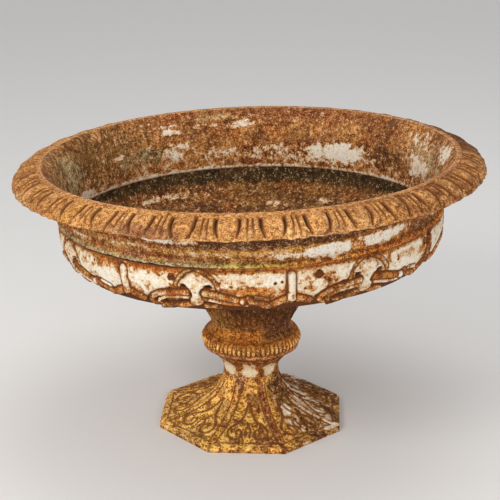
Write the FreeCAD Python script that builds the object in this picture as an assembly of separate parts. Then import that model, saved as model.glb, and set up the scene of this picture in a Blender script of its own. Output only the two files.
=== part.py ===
"""A large garden urn of the tazza form, in painted cast iron.

Millimetres, +Z up. The origin is on the ground, on the upright axis of the
foot and stem, and the foot's flats face along X and Y. The bowl has settled
to one side, as old urns do, so its castings are drawn upright about their own
axis, from their seat upwards, and are then leaned as a group.
"""
import FreeCAD
import Part

import math
import os

V = FreeCAD.Vector

# Foot: a hollow eight-sided casting with a flat deck under the stem
foot_across_flats = 357.0
foot_edge_height = 10.0
foot_height = 101.0
foot_wall = 9.0
foot_deck_thickness = 14.0
foot_sweep_shares = ((0.98, 0.275),)

# Stem: a cored casting with an eight-sided neck, a knop, a waist and a calyx
neck_across_flats = 107.0
neck_flat_height = 11.0
neck_corner_ease = 1.0
neck_cove_height = 51.0
neck_cove_shares = ((0.00, 0.30), (0.24, 0.62))
knop_radius = 97.5
knop_foot_inset = 13.5
fillet_inset = 3.0
fillet_bevel = 3.0
fillet_height = 6.0
quirk_depth = 2.5
knop_rise = 7.5
knop_low_shares = ((1.00, 0.00),)
shoulder_inset = 5.5
shoulder_rise = 16.5
knop_high_shares = ((0.00, 0.60),)
waist_inset = 18.0
waist_rise = 19.0
waist_sweep_shares = ((0.60, 0.20), (1.00, 0.60))
calyx_radius = 97.0
calyx_rise = 45.0
calyx_sweep_shares = ((0.00, 0.42), (0.78, 0.62))
calyx_band_height = 19.5
stem_core_radius = 40.0

# Bedding: a thin putty joint under the stem, and a tapered bed under the bowl
neck_bedding_thickness = 1.5
neck_bedding_setback = 3.0
seat_bedding_thickness = 6.0
seat_bedding_radius = 90.0

# Lean of the bowl, and how far its seat has moved towards the high side
bowl_lean = 1.77
bowl_lean_heading = 3.26
seat_shift = 3.7

# Bowl body: the lower casting, measured upwards from its seat and inwards from its side
bowl_radius = 367.0
bowl_wall = 11.0
bowl_floor_thickness = 10.0
bowl_hole_radius = 16.0
seat_radius = 95.0
bowl_under_inset = 30.0
bowl_under_level = 79.0
bowl_under_shares = ((0.43, 0.36),)
bowl_turn_inset = 21.0
bowl_turn_rise = 9.0
bowl_turn_shares = ((1.00, 0.00),)
bowl_side_rise = 46.0
bowl_side_shares = ((0.75, 0.50),)
bowl_straight_height = 31.0

# Ornament on the bowl body
motif_count = 7
motif_relief = 7.0
motif_top_gap = 4.0
first_strap_angle = 14.7
strap_width = 20.0
strap_crown_share = 4 / 3
leaf_width = 84.0
leaf_neck_width = 26.0
leaf_foot_width = 60.0
leaf_eye_drop = 31.0
leaf_neck_drop = 49.0
rail_inset = 13.0
rail_rise = 11.0
rail_thickness = 13.0

# Rim ring: the upper casting, with its spigot inside the body
spigot_inset = 7.0
spigot_wall = 6.0
spigot_depth = 18.0
joint_clearance = 0.3
ridge_overhang = 4.0
ridge_height = 3.0
bead_height = 9.0
bead_drop_share = 0.55
cavetto_inset = 2.0
cavetto_height = 60.0
cavetto_shares = ((-0.07, 0.68), (0.33, 0.94))
rim_projection = 83.0
rim_breadth = 58.0
soffit_width = 25.0
soffit_rise = 8.0
ovolo_height = 29.0
ovolo_shares = ((0.05, 0.31), (0.56, 0.88))
lip_breadth = 12.0
fillet_step = 3.0
ring_flare_drop = 1.0
ring_flare_shares = ((0.00, 0.50), (0.53, 0.82))

# Pins that hold the ring's spigot in the body
pin_count = 9
pin_first_angle = 21.0
pin_radius = 4.5
pin_clearance = 0.15
pin_proud = 1.2

# Tie rod with its nuts and washers
rod_radius = 10.0
rod_clearance = 0.4
thread_clearance = 0.1
rod_spare = 8.0
nut_across_flats = 32.0
nut_height = 16.0
nut_chamfer = 2.0
washer_radius = 30.0
washer_thickness = 5.0

# One overrun for every cut that passes right through
overrun = 40.0

# Heights in the stem, from its own base
fillet_low = neck_cove_height + fillet_bevel
fillet_high = fillet_low + fillet_height
knop_level = fillet_high + knop_rise
shoulder_level = knop_level + shoulder_rise
waist_level = shoulder_level + waist_rise
calyx_level = waist_level + calyx_rise
stem_height = calyx_level + calyx_band_height
neck_half = neck_across_flats / 2
neck_circle = neck_half / math.cos(math.pi / 8) + neck_corner_ease
fillet_radius = knop_radius - fillet_inset

# Heights of the whole stack
stem_base = foot_height + neck_bedding_thickness
stem_top = stem_base + stem_height
seat_level = stem_top + seat_bedding_thickness
deck_underside = foot_height - foot_deck_thickness

# Radii and levels of the bowl body, from its seat
bowl_under_radius = bowl_radius - bowl_under_inset
bowl_turn_radius = bowl_radius - bowl_turn_inset
bowl_turn_level = bowl_under_level + bowl_turn_rise
bowl_straight_level = bowl_turn_level + bowl_side_rise
bowl_top_level = bowl_straight_level + bowl_straight_height
rail_radius = bowl_radius - rail_inset
rail_level = bowl_under_level + rail_rise

# Radii and levels of the rim ring, from the same seat
spigot_radius = bowl_radius - spigot_inset
spigot_bottom_level = bowl_top_level - spigot_depth
ring_bore_radius = spigot_radius - spigot_wall
ring_flare_level = bowl_top_level - ring_flare_drop
ridge_radius = bowl_radius + ridge_overhang
cavetto_radius = bowl_radius - cavetto_inset
cavetto_foot_level = bowl_top_level + bead_height
rim_radius = bowl_radius + rim_projection
rim_under_radius = rim_radius - soffit_width
rim_under_level = cavetto_foot_level + cavetto_height
rim_edge_level = rim_under_level + soffit_rise
lip_radius = rim_radius - rim_breadth
lip_level = rim_edge_level + ovolo_height
fillet_edge_radius = lip_radius + lip_breadth
pin_level = (spigot_bottom_level + bowl_top_level) / 2
reach = rim_radius + overrun


def poles_between(start, end, shares):
    """Poles of a curve from start to end, placed by shares of the way across and up."""
    across = end[0] - start[0]
    up = end[1] - start[1]
    inner = [(start[0] + u * across, start[1] + v * up) for u, v in shares]
    return inner + [end]


def outline_face(start, *steps):
    """A closed face in the X-Z plane. A step is a corner, or a list of a curve's poles."""
    edges = []
    here = V(start[0], 0, start[1])
    for step in steps + (start,):
        corners = step if isinstance(step, list) else [step]
        poles = [here] + [V(x, 0, z) for x, z in corners]
        if len(poles) == 2:
            edges.append(Part.LineSegment(poles[0], poles[1]).toShape())
        else:
            curve = Part.BezierCurve()
            curve.setPoles(poles)
            edges.append(curve.toShape())
        here = poles[-1]
    return Part.Face(Part.Wire(edges))


def turned(start, *steps):
    """A body of revolution about Z."""
    return outline_face(start, *steps).revolve(V(0, 0, 0), V(0, 0, 1), 360)


def eight_sided(width, start, *steps):
    """A body whose eight sides all follow one outline, mitred at the corners."""
    half = outline_face(start, *steps)
    half.translate(V(0, -width / 2, 0))
    right = half.extrude(V(0, width, 0))
    bar = right.fuse(right.mirror(V(0, 0, 0), V(1, 0, 0))).removeSplitter()
    body = bar
    for turn in range(1, 4):
        other = bar.copy()
        other.rotate(V(0, 0, 0), V(0, 0, 1), turn * 45)
        body = body.common(other)
    return body


def leaned(shape):
    """Moves a shape from the bowl's own upright frame to its settled place."""
    placed = shape.copy()
    placed.rotate(V(0, 0, 0), V(0, -1, 0), bowl_lean)
    placed.translate(V(seat_shift, 0, seat_level))
    placed.rotate(V(0, 0, 0), V(0, 0, 1), bowl_lean_heading)
    return placed


def around(shape, angle):
    """A copy turned about Z. Angles run from the front towards +X."""
    copy = shape.copy()
    copy.rotate(V(0, 0, 0), V(0, 0, 1), angle)
    return copy


def foot():
    edge_half = foot_across_flats / 2
    outer = eight_sided(foot_across_flats, (0, 0), (edge_half, 0), (edge_half, foot_edge_height),
                        poles_between((edge_half, foot_edge_height), (neck_half, foot_height),
                                      foot_sweep_shares), (0, foot_height))
    inner_edge = edge_half - foot_wall
    inner_neck = neck_half - foot_wall
    hollow = eight_sided(foot_across_flats, (0, -overrun), (inner_edge, -overrun), (inner_edge, 0),
                         poles_between((inner_edge, 0), (inner_neck, deck_underside),
                                       foot_sweep_shares), (0, deck_underside))
    rod_hole = Part.makeCylinder(rod_radius + rod_clearance, foot_height + overrun)
    return outer.cut(hollow).cut(rod_hole)


def neck_bedding():
    disc = eight_sided(neck_across_flats, (0, 0), (neck_half - neck_bedding_setback, 0),
                       (neck_half - neck_bedding_setback, neck_bedding_thickness),
                       (0, neck_bedding_thickness))
    disc = disc.cut(Part.makeCylinder(stem_core_radius, stem_height))
    disc.translate(V(0, 0, foot_height))
    return disc


def stem():
    waist = (knop_radius - waist_inset, waist_level)
    shoulder = (knop_radius - shoulder_inset, shoulder_level)
    knop_foot = (knop_radius - knop_foot_inset, neck_cove_height)
    quirk = (fillet_radius - quirk_depth, fillet_high)
    body = turned(
        (stem_core_radius, 0), (neck_circle, 0),
        poles_between((neck_circle, 0), knop_foot, neck_cove_shares),
        (fillet_radius, fillet_low), (fillet_radius, fillet_high), quirk,
        poles_between(quirk, (knop_radius, knop_level), knop_low_shares),
        poles_between((knop_radius, knop_level), shoulder, knop_high_shares),
        poles_between(shoulder, waist, waist_sweep_shares),
        poles_between(waist, (calyx_radius, calyx_level), calyx_sweep_shares),
        (calyx_radius, stem_height), (stem_core_radius, stem_height))
    flare_top = neck_flat_height + knop_radius - neck_half
    facets = eight_sided(reach, (0, -overrun), (neck_half, -overrun), (neck_half, neck_flat_height),
                         (knop_radius + overrun, flare_top), (knop_radius + overrun, stem_height + overrun),
                         (0, stem_height + overrun))
    body = body.common(facets)
    body.translate(V(0, 0, stem_base))
    return body


def seat_bedding():
    """A ring, level below and cut above by the plane of the leaning seat."""
    ring = Part.makeCylinder(seat_bedding_radius, overrun, V(0, 0, stem_top))
    ring = ring.cut(Part.makeCylinder(stem_core_radius, foot_height + reach))
    return ring.common(leaned(Part.makeCylinder(reach, reach, V(0, 0, -reach))))


def side_curve(proud):
    """The side of the bowl from its turn up to the straight part, moved out by proud."""
    low = (bowl_turn_radius + proud, bowl_turn_level)
    return poles_between(low, (bowl_radius + proud, bowl_straight_level), bowl_side_shares)


def backwards(start, poles):
    """The same curve run from its other end."""
    return list(reversed([start] + poles[:-1]))


def plain_bowl():
    seat = (seat_radius, 0)
    under = (bowl_under_radius, bowl_under_level)
    turn = (bowl_turn_radius, bowl_turn_level)
    inner_radius = bowl_radius - bowl_wall
    socket_radius = spigot_radius + joint_clearance
    ledge_level = spigot_bottom_level - joint_clearance
    inner_turn = (bowl_turn_radius - bowl_wall, bowl_turn_level + bowl_floor_thickness)
    inner_under = (bowl_under_radius - 2 * bowl_wall, bowl_under_level + bowl_floor_thickness / 2)
    inner_seat = (seat_radius, bowl_floor_thickness)
    floor_curve = poles_between(inner_seat, inner_under, bowl_under_shares)
    corner_curve = poles_between(inner_under, inner_turn, bowl_turn_shares)
    return turned(
        (bowl_hole_radius, 0), seat, poles_between(seat, under, bowl_under_shares),
        poles_between(under, turn, bowl_turn_shares), side_curve(0), (bowl_radius, bowl_top_level),
        (socket_radius, bowl_top_level), (socket_radius, ledge_level), (inner_radius, ledge_level),
        (inner_radius, bowl_straight_level), backwards(inner_turn, side_curve(-bowl_wall)),
        backwards(inner_under, corner_curve), backwards(inner_seat, floor_curve),
        (bowl_hole_radius, bowl_floor_thickness))


def relief_band():
    """The ring of space that the straps and leaves of the bowl stand in."""
    top = bowl_top_level - motif_top_gap
    middle = bowl_radius - bowl_wall / 2
    low = (bowl_turn_radius + motif_relief, bowl_turn_level)
    return turned((middle, top), (bowl_radius + motif_relief, top),
                  (bowl_radius + motif_relief, bowl_straight_level),
                  backwards(low, side_curve(motif_relief)),
                  (bowl_turn_radius - motif_relief, bowl_turn_level),
                  (middle, bowl_straight_level))


def front_prism(start, *steps):
    """An outline drawn on the front of the bowl, as seen, pushed back into it."""
    face = outline_face(start, *steps)
    face.translate(V(0, -reach, 0))
    return face.extrude(V(0, reach, 0))


def strap_prism():
    half = strap_width / 2
    shoulder = bowl_top_level - motif_top_gap - half
    crown = shoulder + half * strap_crown_share
    return front_prism((-half, 0), (half, 0), (half, shoulder),
                       [(half, crown), (-half, crown), (-half, shoulder)])


def leaf_prism():
    top = bowl_top_level - motif_top_gap
    side = leaf_width / 2
    neck = leaf_neck_width / 2
    foot_half = leaf_foot_width / 2
    eye_level = bowl_top_level - leaf_eye_drop
    neck_level = bowl_top_level - leaf_neck_drop
    right = [(foot_half, 0), (neck, neck_level), (side, eye_level)]
    left = [(-x, z) for x, z in reversed(right)]
    return front_prism(left[-1], *right, [(side, top), (0, top)], [(-side, top), left[0]], left[1])


def bottom_rail():
    half = rail_thickness / 2
    low = rail_level - half
    high = rail_level + half
    inner = rail_radius - rail_thickness
    return turned((inner, low), (rail_radius - half, low),
                  [(rail_radius, low), (rail_radius, rail_level)],
                  [(rail_radius, high), (rail_radius - half, high)], (inner, high))


def bowl_body():
    band = relief_band()
    pitch = 360 / motif_count
    motifs = []
    for number in range(motif_count):
        angle = first_strap_angle - bowl_lean_heading + number * pitch
        motifs.append(band.common(around(strap_prism(), angle)))
        motifs.append(band.common(around(leaf_prism(), angle + pitch / 2)))
    body = plain_bowl().fuse([bottom_rail()] + motifs)
    for hole in pin_cylinders(pin_clearance):
        body = body.cut(hole)
    return leaned(body)


def rim_ring():
    bead_foot = bowl_top_level + ridge_height
    bead = poles_between((ridge_radius, bead_foot), (cavetto_radius, cavetto_foot_level),
                         ((0, bead_drop_share),))
    shape = turned(
        (ring_bore_radius, spigot_bottom_level), (spigot_radius, spigot_bottom_level),
        (spigot_radius, bowl_top_level), (ridge_radius, bowl_top_level), (ridge_radius, bead_foot),
        bead,
        poles_between((cavetto_radius, cavetto_foot_level), (rim_under_radius, rim_under_level),
                      cavetto_shares),
        (rim_radius, rim_edge_level),
        poles_between((rim_radius, rim_edge_level), (fillet_edge_radius, lip_level - fillet_step),
                      ovolo_shares),
        (fillet_edge_radius, lip_level), (lip_radius, lip_level),
        poles_between((lip_radius, lip_level), (ring_bore_radius, ring_flare_level),
                      [(1 - u, 1 - v) for u, v in reversed(ring_flare_shares)]))
    for hole in pin_cylinders(pin_clearance):
        shape = shape.cut(hole)
    return leaned(shape)


def pin_cylinders(clearance):
    """Radial pins through the body's wall and the spigot, or their holes."""
    start = ring_bore_radius - pin_proud
    if clearance:
        start = ring_bore_radius - overrun
    end = bowl_radius + pin_proud
    if clearance:
        end = bowl_radius + overrun
    pins = []
    for number in range(pin_count):
        angle = pin_first_angle - bowl_lean_heading + number * 360 / pin_count
        pin = Part.makeCylinder(pin_radius + clearance, end - start, V(0, -start, pin_level), V(0, -1, 0))
        pins.append(around(pin, angle))
    return pins


def joint_pins():
    return Part.makeCompound([leaned(pin) for pin in pin_cylinders(0)])


def hex_nut(level):
    half = nut_across_flats / 2
    corner = half / math.cos(math.pi / 6)
    points = [V(corner * math.cos(k * math.pi / 3), corner * math.sin(k * math.pi / 3), 0)
              for k in range(7)]
    blank = Part.Face(Part.makePolygon(points)).extrude(V(0, 0, nut_height))
    bore = rod_radius + thread_clearance
    crown = turned((bore, 0), (corner, 0), (corner, nut_height - nut_chamfer), (half, nut_height),
                   (bore, nut_height))
    nut = blank.common(crown)
    nut.translate(V(0, 0, level))
    return nut


def washer(level):
    disc = Part.makeCylinder(washer_radius, washer_thickness, V(0, 0, level))
    return disc.cut(Part.makeCylinder(rod_radius + rod_clearance, reach))


top_washer_level = seat_level + bowl_floor_thickness + washer_thickness


def taper_washer():
    """A washer that is level above and follows the leaning floor below."""
    disc = Part.makeCylinder(washer_radius, top_washer_level - stem_top, V(0, 0, stem_top))
    disc = disc.cut(Part.makeCylinder(rod_radius + rod_clearance, reach))
    below = Part.makeCylinder(reach, reach, V(0, 0, bowl_floor_thickness - reach))
    return disc.cut(leaned(below))


bottom_washer_level = deck_underside - washer_thickness
bottom_nut_level = bottom_washer_level - nut_height
rod_bottom = bottom_nut_level - rod_spare
rod_top = top_washer_level + nut_height + rod_spare


def tie_rod():
    return Part.makeCylinder(rod_radius, rod_top - rod_bottom, V(0, 0, rod_bottom))


nodes = {
    "foot": foot(),
    "neck_bedding": neck_bedding(),
    "stem": stem(),
    "seat_bedding": seat_bedding(),
    "bowl_body": bowl_body(),
    "rim_ring": rim_ring(),
    "joint_pins": joint_pins(),
    "tie_rod": tie_rod(),
    "taper_washer": taper_washer(),
    "top_nut": hex_nut(top_washer_level),
    "bottom_washer": washer(bottom_washer_level),
    "bottom_nut": hex_nut(bottom_nut_level),
}

os.makedirs("parts", exist_ok=True)
for name, shape in nodes.items():
    shape.exportStep(f"parts/{name}.step")
    box = shape.BoundBox
    print(f"{name}: {len(shape.Solids)} solid, valid {shape.isValid()}, {shape.Volume / 1000:.1f} cm3, "
          f"z {box.ZMin:.1f} to {box.ZMax:.1f}, x {box.XMin:.1f} to {box.XMax:.1f}")
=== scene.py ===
# %% [markdown]
# # A weathered cast-iron garden urn
# A wide shallow bowl on a short stem and an eight-sided foot. The castings hold the shape and the sizes,
# and this lesson gives them their ornament, rust, old paint and moss. The frame and the meshes are in
# metres. The ornament is drawn in millimetres and degrees. The urn stands on the ground at the middle of
# its foot, with its front towards -Y, and angles round it run from the front towards +X.

# %% Load the castings as a fixed frame
import math
from functools import partial

import bpy
import numpy as np
from mathutils import Matrix, Vector


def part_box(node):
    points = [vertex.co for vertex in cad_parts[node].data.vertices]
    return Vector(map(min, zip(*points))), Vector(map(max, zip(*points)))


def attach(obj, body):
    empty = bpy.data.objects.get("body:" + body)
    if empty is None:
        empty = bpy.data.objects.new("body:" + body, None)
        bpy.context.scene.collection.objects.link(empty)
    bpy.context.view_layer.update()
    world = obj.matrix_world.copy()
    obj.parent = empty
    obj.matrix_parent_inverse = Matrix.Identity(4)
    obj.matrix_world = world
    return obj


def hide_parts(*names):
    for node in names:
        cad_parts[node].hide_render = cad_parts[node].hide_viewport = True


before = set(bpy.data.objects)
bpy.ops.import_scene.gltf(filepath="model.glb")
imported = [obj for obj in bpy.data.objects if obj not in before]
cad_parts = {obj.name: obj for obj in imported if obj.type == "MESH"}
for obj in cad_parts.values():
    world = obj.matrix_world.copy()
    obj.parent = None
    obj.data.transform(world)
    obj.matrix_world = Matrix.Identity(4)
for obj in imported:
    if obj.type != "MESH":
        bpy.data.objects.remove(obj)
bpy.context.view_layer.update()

MM = 0.001
print("pieces in the frame:", ", ".join(sorted(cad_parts)))

# %% [markdown]
# ## Sizes that the frame gives
# The bowl has settled a little to one side. Its ornament is easiest to draw upright about the bowl's own
# axis and to lean afterwards, so the seat of the bowl is worked out first, from the lowest point of the
# bowl body: the edge of its round seat, which the lean has dropped a little.

# %% Read the main sizes
BOWL_LEAN = math.radians(1.77)
LEAN_HEADING = math.radians(3.26)
SEAT_SHIFT = 3.7
SEAT_RADIUS = 95

foot_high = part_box("foot")[1]
stem_low, stem_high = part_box("stem")
body_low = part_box("bowl_body")[0]
rim_low, rim_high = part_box("rim_ring")

FOOT_HALF = foot_high.x / MM
FOOT_HEIGHT = foot_high.z / MM
STEM_BASE = stem_low.z / MM
STEM_HEIGHT = stem_high.z / MM - STEM_BASE
KNOP_RADIUS = stem_high.x / MM
RIM_RADIUS = (rim_high.y - rim_low.y) / 2 / MM
SEAT_LEVEL = body_low.z / MM + SEAT_RADIUS * math.sin(BOWL_LEAN)
BOWL_RADIUS = RIM_RADIUS - 83
BODY_TOP = 165

LEAN = (Matrix.Rotation(LEAN_HEADING, 4, "Z") @ Matrix.Translation((SEAT_SHIFT * MM, 0, SEAT_LEVEL * MM))
        @ Matrix.Rotation(-BOWL_LEAN, 4, "Y"))
print(f"rim {2 * RIM_RADIUS:.0f} across, foot {2 * FOOT_HALF:.0f} across flats, "
      f"bowl seat at {SEAT_LEVEL:.1f}")

# %% [markdown]
# ## Sections, unevenness and relief
# All ornament here is a height drawn on a turned surface. A section is a run of points, a radius and a
# level each, and a stretch between two of them bends towards poles that are given as shares of the way.
# Unevenness comes from a lattice of fixed random values, smoothly mixed, so it is the same on each run.


# %% Helpers for sections
def curve(start, end, count, poles=()):
    """Points after start, up to and with end. Each pole is a share of the way across and up."""
    start, end = np.array(start, float), np.array(end, float)
    stations = [start, *(start + np.array(pole) * (end - start) for pole in poles), end]
    points = []
    for t in np.linspace(0, 1, count + 1)[1:]:
        level = stations
        while len(level) > 1:
            level = [a * (1 - t) + b * t for a, b in zip(level, level[1:])]
        points.append(level[0])
    return points


def section(start, *stretches):
    """A section from a start and stretches, each a point, or a point, a number of steps and poles."""
    points = [np.array(start, float)]
    for stretch in stretches:
        end, count, *poles = stretch if np.ndim(stretch[0]) else (stretch, 1)
        points.extend(curve(points[-1], end, count, poles))
    return np.array(points)


def outward(points):
    """Unit normals of a section, to the right of its direction of travel."""
    ahead = np.roll(points, -1, axis=0) - points
    behind = points - np.roll(points, 1, axis=0)
    ahead[-1] = behind[-1]
    behind[0] = ahead[0]
    along = ahead + behind
    normal = np.stack([along[:, 1], -along[:, 0]], 1)
    return normal / np.maximum(np.linalg.norm(normal, axis=1, keepdims=True), 1e-9)


def turned_places(points, angles, lift=0.0):
    """Places of a section swung to each angle, and lifted along the section's own normals."""
    normal = outward(points)
    radius = points[:, :1] + normal[:, :1] * lift
    level = points[:, 1:] + normal[:, 1:] * lift
    return np.stack([radius * np.sin(angles), -radius * np.cos(angles), level + 0 * angles], -1)


def polar(places):
    """The angle round the urn, the radius and the level of each place."""
    angle = np.degrees(np.arctan2(places[:, 0], -places[:, 1]))
    return angle, np.hypot(places[:, 0], places[:, 1]), places[:, 2]


# %% Helpers for unevenness
def smooth(low, high, value):
    """A soft step from 0 at low to 1 at high."""
    t = np.clip((value - low) / (high - low), 0, 1)
    return t * t * (3 - 2 * t)


def lattice(x, y, z, seed):
    """A fixed random value from 0 to 1 for each whole-numbered place."""
    mixed = (x * 374761393 + y * 668265263 + z * 2147483647 + seed * 974634777) & 0xFFFFFFFF
    mixed = ((mixed ^ (mixed >> 13)) * 1274126177) & 0xFFFFFFFF
    mixed = ((mixed ^ (mixed >> 16)) * 2246822519) & 0xFFFFFFFF
    return (mixed ^ (mixed >> 15)) / 0xFFFFFFFF


def wobble(places, size, seed):
    """Smooth random values from -1 to 1 that change over about size."""
    scaled = places / size
    base = np.floor(scaled).astype(np.int64)
    part = scaled - base
    part = part * part * (3 - 2 * part)
    total = 0
    for corner in range(8):
        step = np.array([corner & 1, corner >> 1 & 1, corner >> 2 & 1])
        weight = np.prod(np.where(step, part, 1 - part), axis=-1)
        cell = base + step
        total = total + weight * lattice(cell[..., 0], cell[..., 1], cell[..., 2], seed)
    return total * 2 - 1


FINER_WEIGHT = 0.55
CLOUD_RANGE = 1.4


def cloud(places, size, seed, octaves=4):
    """Finer and finer wobbles added up, about -1 to 1."""
    total = sum(wobble(places, size / 2 ** k, seed + k) * FINER_WEIGHT ** k for k in range(octaves))
    return total / CLOUD_RANGE


# %% Helpers for drawing relief
def to_line(x, y, points):
    """Distance from each place to a line through points."""
    best = np.full(np.shape(x), 1e9)
    for (ax, ay), (bx, by) in zip(points, points[1:]):
        dx, dy = bx - ax, by - ay
        t = np.clip(((x - ax) * dx + (y - ay) * dy) / max(dx * dx + dy * dy, 1e-9), 0, 1)
        best = np.minimum(best, np.hypot(x - ax - t * dx, y - ay - t * dy))
    return best


def bar(distance, half_width):
    """A round bar's height, 1 on its line and 0 at its edges."""
    return np.sqrt(np.clip(1 - (distance / half_width) ** 2, 0, 1))


def cut(distance, half_width):
    """A soft cut, 1 on its line."""
    return np.exp(-(distance / half_width) ** 2)


def spot(angle, level, centre, size, ragged=0.0, soft=0.45):
    """How far each place is inside an oval patch. Centre and size are an angle and a level each."""
    across = (angle - centre[0] + 180) % 360 - 180
    reach = np.hypot(across / size[0], (level - centre[1]) / size[1])
    return 1 - smooth(1 - soft, 1 + soft, reach + ragged)


def patches(angle, level, table, ragged, join=np.maximum):
    """Joins a table of oval patches: angle, level, half width, half height and strength of each."""
    return join.reduce([strength * spot(angle, level, (turn, up), (wide, tall), ragged)
                        for turn, up, wide, tall, strength in table])


# %% Helpers for meshes
def grid_mesh(name, places, fields=None, loop_rows=True, loop_columns=False):
    """A mesh from rows and columns of places, with one number stored per place for each field."""
    rows, columns = places.shape[:2]
    row = np.arange(rows if loop_rows else rows - 1)[:, None]
    column = np.arange(columns if loop_columns else columns - 1)[None, :]
    down, right = (row + 1) % rows, (column + 1) % columns
    faces = np.stack([row * columns + column, down * columns + column, down * columns + right,
                      row * columns + right], -1).reshape(-1, 4)
    mesh = bpy.data.meshes.new(name)
    mesh.from_pydata((places * MM).reshape(-1, 3).tolist(), [], faces.tolist())
    for field, values in (fields or {}).items():
        write_field(mesh, field, values)
    mesh.update()
    return mesh


def new_object(name, mesh):
    piece = bpy.data.objects.new(name, mesh)
    bpy.context.scene.collection.objects.link(piece)
    return piece


def read_places(mesh):
    places = np.zeros(len(mesh.vertices) * 3, np.float32)
    mesh.vertices.foreach_get("co", places)
    return places.reshape(-1, 3).astype(float) / MM


def write_places(mesh, places):
    mesh.vertices.foreach_set("co", (places * MM).astype(np.float32).ravel())
    mesh.update()


def read_field(mesh, field):
    values = np.zeros(len(mesh.vertices), np.float32)
    mesh.attributes[field].data.foreach_get("value", values)
    return values.astype(float)


def write_field(mesh, field, values):
    found = mesh.attributes.get(field) or mesh.attributes.new(field, "FLOAT", "POINT")
    found.data.foreach_set("value", np.asarray(values, np.float32).ravel())


def write_look(mesh, tone, paint, cavity):
    """Stores what the material reads at each place: the iron's tone, how much paint and how deep a groove.
    Tone and depth also carry painted shade.
    """
    rgba = np.concatenate([tone, np.ones((len(tone), 1))], 1).astype(np.float32)
    mesh.attributes.new("tone", "FLOAT_COLOR", "POINT").data.foreach_set("color", rgba.ravel())
    write_field(mesh, "paint", paint)
    write_field(mesh, "cavity", cavity)


def normals_of(mesh):
    normals = np.zeros(len(mesh.vertices) * 3, np.float32)
    mesh.vertex_normals.foreach_get("vector", normals)
    return normals.reshape(-1, 3).astype(float)


def swell(mesh, lift):
    """Moves each place out along its normal by its own lift."""
    write_places(mesh, read_places(mesh) + normals_of(mesh) * lift[:, None])


def face_outwards(mesh):
    """Turns a closed mesh the right way round if its volume comes out negative, and gives the volume."""
    mesh.calc_loop_triangles()
    corners = np.zeros(len(mesh.loop_triangles) * 3, np.int32)
    mesh.loop_triangles.foreach_get("vertices", corners)
    a, b, c = read_places(mesh)[corners.reshape(-1, 3)].transpose(1, 0, 2)
    volume = np.einsum("ij,ij->i", a, np.cross(b, c)).sum() / 6
    if volume < 0:
        mesh.flip_normals()
    return abs(volume) / 1000


def turned_mesh(name, points, columns):
    """A closed section swung all the way round."""
    angles = np.linspace(-math.pi, math.pi, columns, endpoint=False)
    mesh = grid_mesh(name, turned_places(points, angles), loop_columns=True)
    print(f"{name}: {len(points)} rows, {face_outwards(mesh):.0f} cubic centimetres")
    return mesh


# %% [markdown]
# ## Ornament that repeats round a ring
# The rim has 36 eggs, the bowl 7 straps and leaves, the stem 20 tongues over 64 flutes, and the foot 8
# panels. A carver cuts one and repeats it, and so does this tree: it takes one sector as its geometry, sets
# copies round the axis, makes them real and closes the seams between them. An array modifier would do that
# too, but the tree takes its count and first angle from the lesson, and the plain mesh that it leaves can be
# weathered unevenly afterwards.


# %% Build the tree for rings
def add_node(tree, kind, values=None, **settings):
    """Adds a node. A value is a number, a colour, or the socket that feeds the input."""
    node = tree.nodes.new(kind)
    for key, value in settings.items():
        setattr(node, key, value)
    for key, value in (values or {}).items():
        if isinstance(value, bpy.types.NodeSocket):
            tree.links.new(value, node.inputs[key])
        else:
            node.inputs[key].default_value = value
    return node


def maths(tree, operation, *values):
    return add_node(tree, "ShaderNodeMath", dict(enumerate(values)), operation=operation).outputs[0]


def new_tree(name, kind, inputs, outputs):
    """A node tree with named inputs and outputs, each a name, a socket type and a default."""
    tree = bpy.data.node_groups.new(name, kind)
    for label, socket_type, default in inputs:
        socket = tree.interface.new_socket(label, in_out="INPUT", socket_type=socket_type)
        if default is not None:
            socket.default_value = default
    for label, socket_type in outputs:
        tree.interface.new_socket(label, in_out="OUTPUT", socket_type=socket_type)
    return tree, tree.nodes.new("NodeGroupInput").outputs, tree.nodes.new("NodeGroupOutput").inputs


def ring_tree():
    tree, given, result = new_tree(
        "ring_of_sectors", "GeometryNodeTree",
        [("Geometry", "NodeSocketGeometry", None), ("Count", "NodeSocketInt", 8),
         ("First Angle", "NodeSocketFloat", 0.0), ("Seam Distance", "NodeSocketFloat", 0.05 * MM),
         ("Material", "NodeSocketMaterial", None)],
        [("Geometry", "NodeSocketGeometry")])
    points = add_node(tree, "GeometryNodePoints", {"Count": given["Count"]}).outputs[0]
    index = add_node(tree, "GeometryNodeInputIndex").outputs[0]
    step = maths(tree, "DIVIDE", 2 * math.pi, given["Count"])
    angle = maths(tree, "MULTIPLY_ADD", index, step, given["First Angle"])
    euler = add_node(tree, "ShaderNodeCombineXYZ", {"Z": angle}).outputs[0]
    turn = add_node(tree, "FunctionNodeEulerToRotation", {"Euler": euler}).outputs[0]
    shape = add_node(tree, "GeometryNodeInstanceOnPoints",
                     {"Points": points, "Instance": given["Geometry"], "Rotation": turn}).outputs[0]
    for kind, extra in (("RealizeInstances", {}), ("MergeByDistance", {"Distance": given["Seam Distance"]}),
                        ("SetShadeSmooth", {}), ("SetMaterial", {"Material": given["Material"]})):
        shape = add_node(tree, "GeometryNode" + kind, {"Geometry": shape, **extra}).outputs[0]
    tree.links.new(shape, result[0])
    return tree


RING = ring_tree()
print("ring tree has", len(RING.nodes), "nodes")


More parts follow.
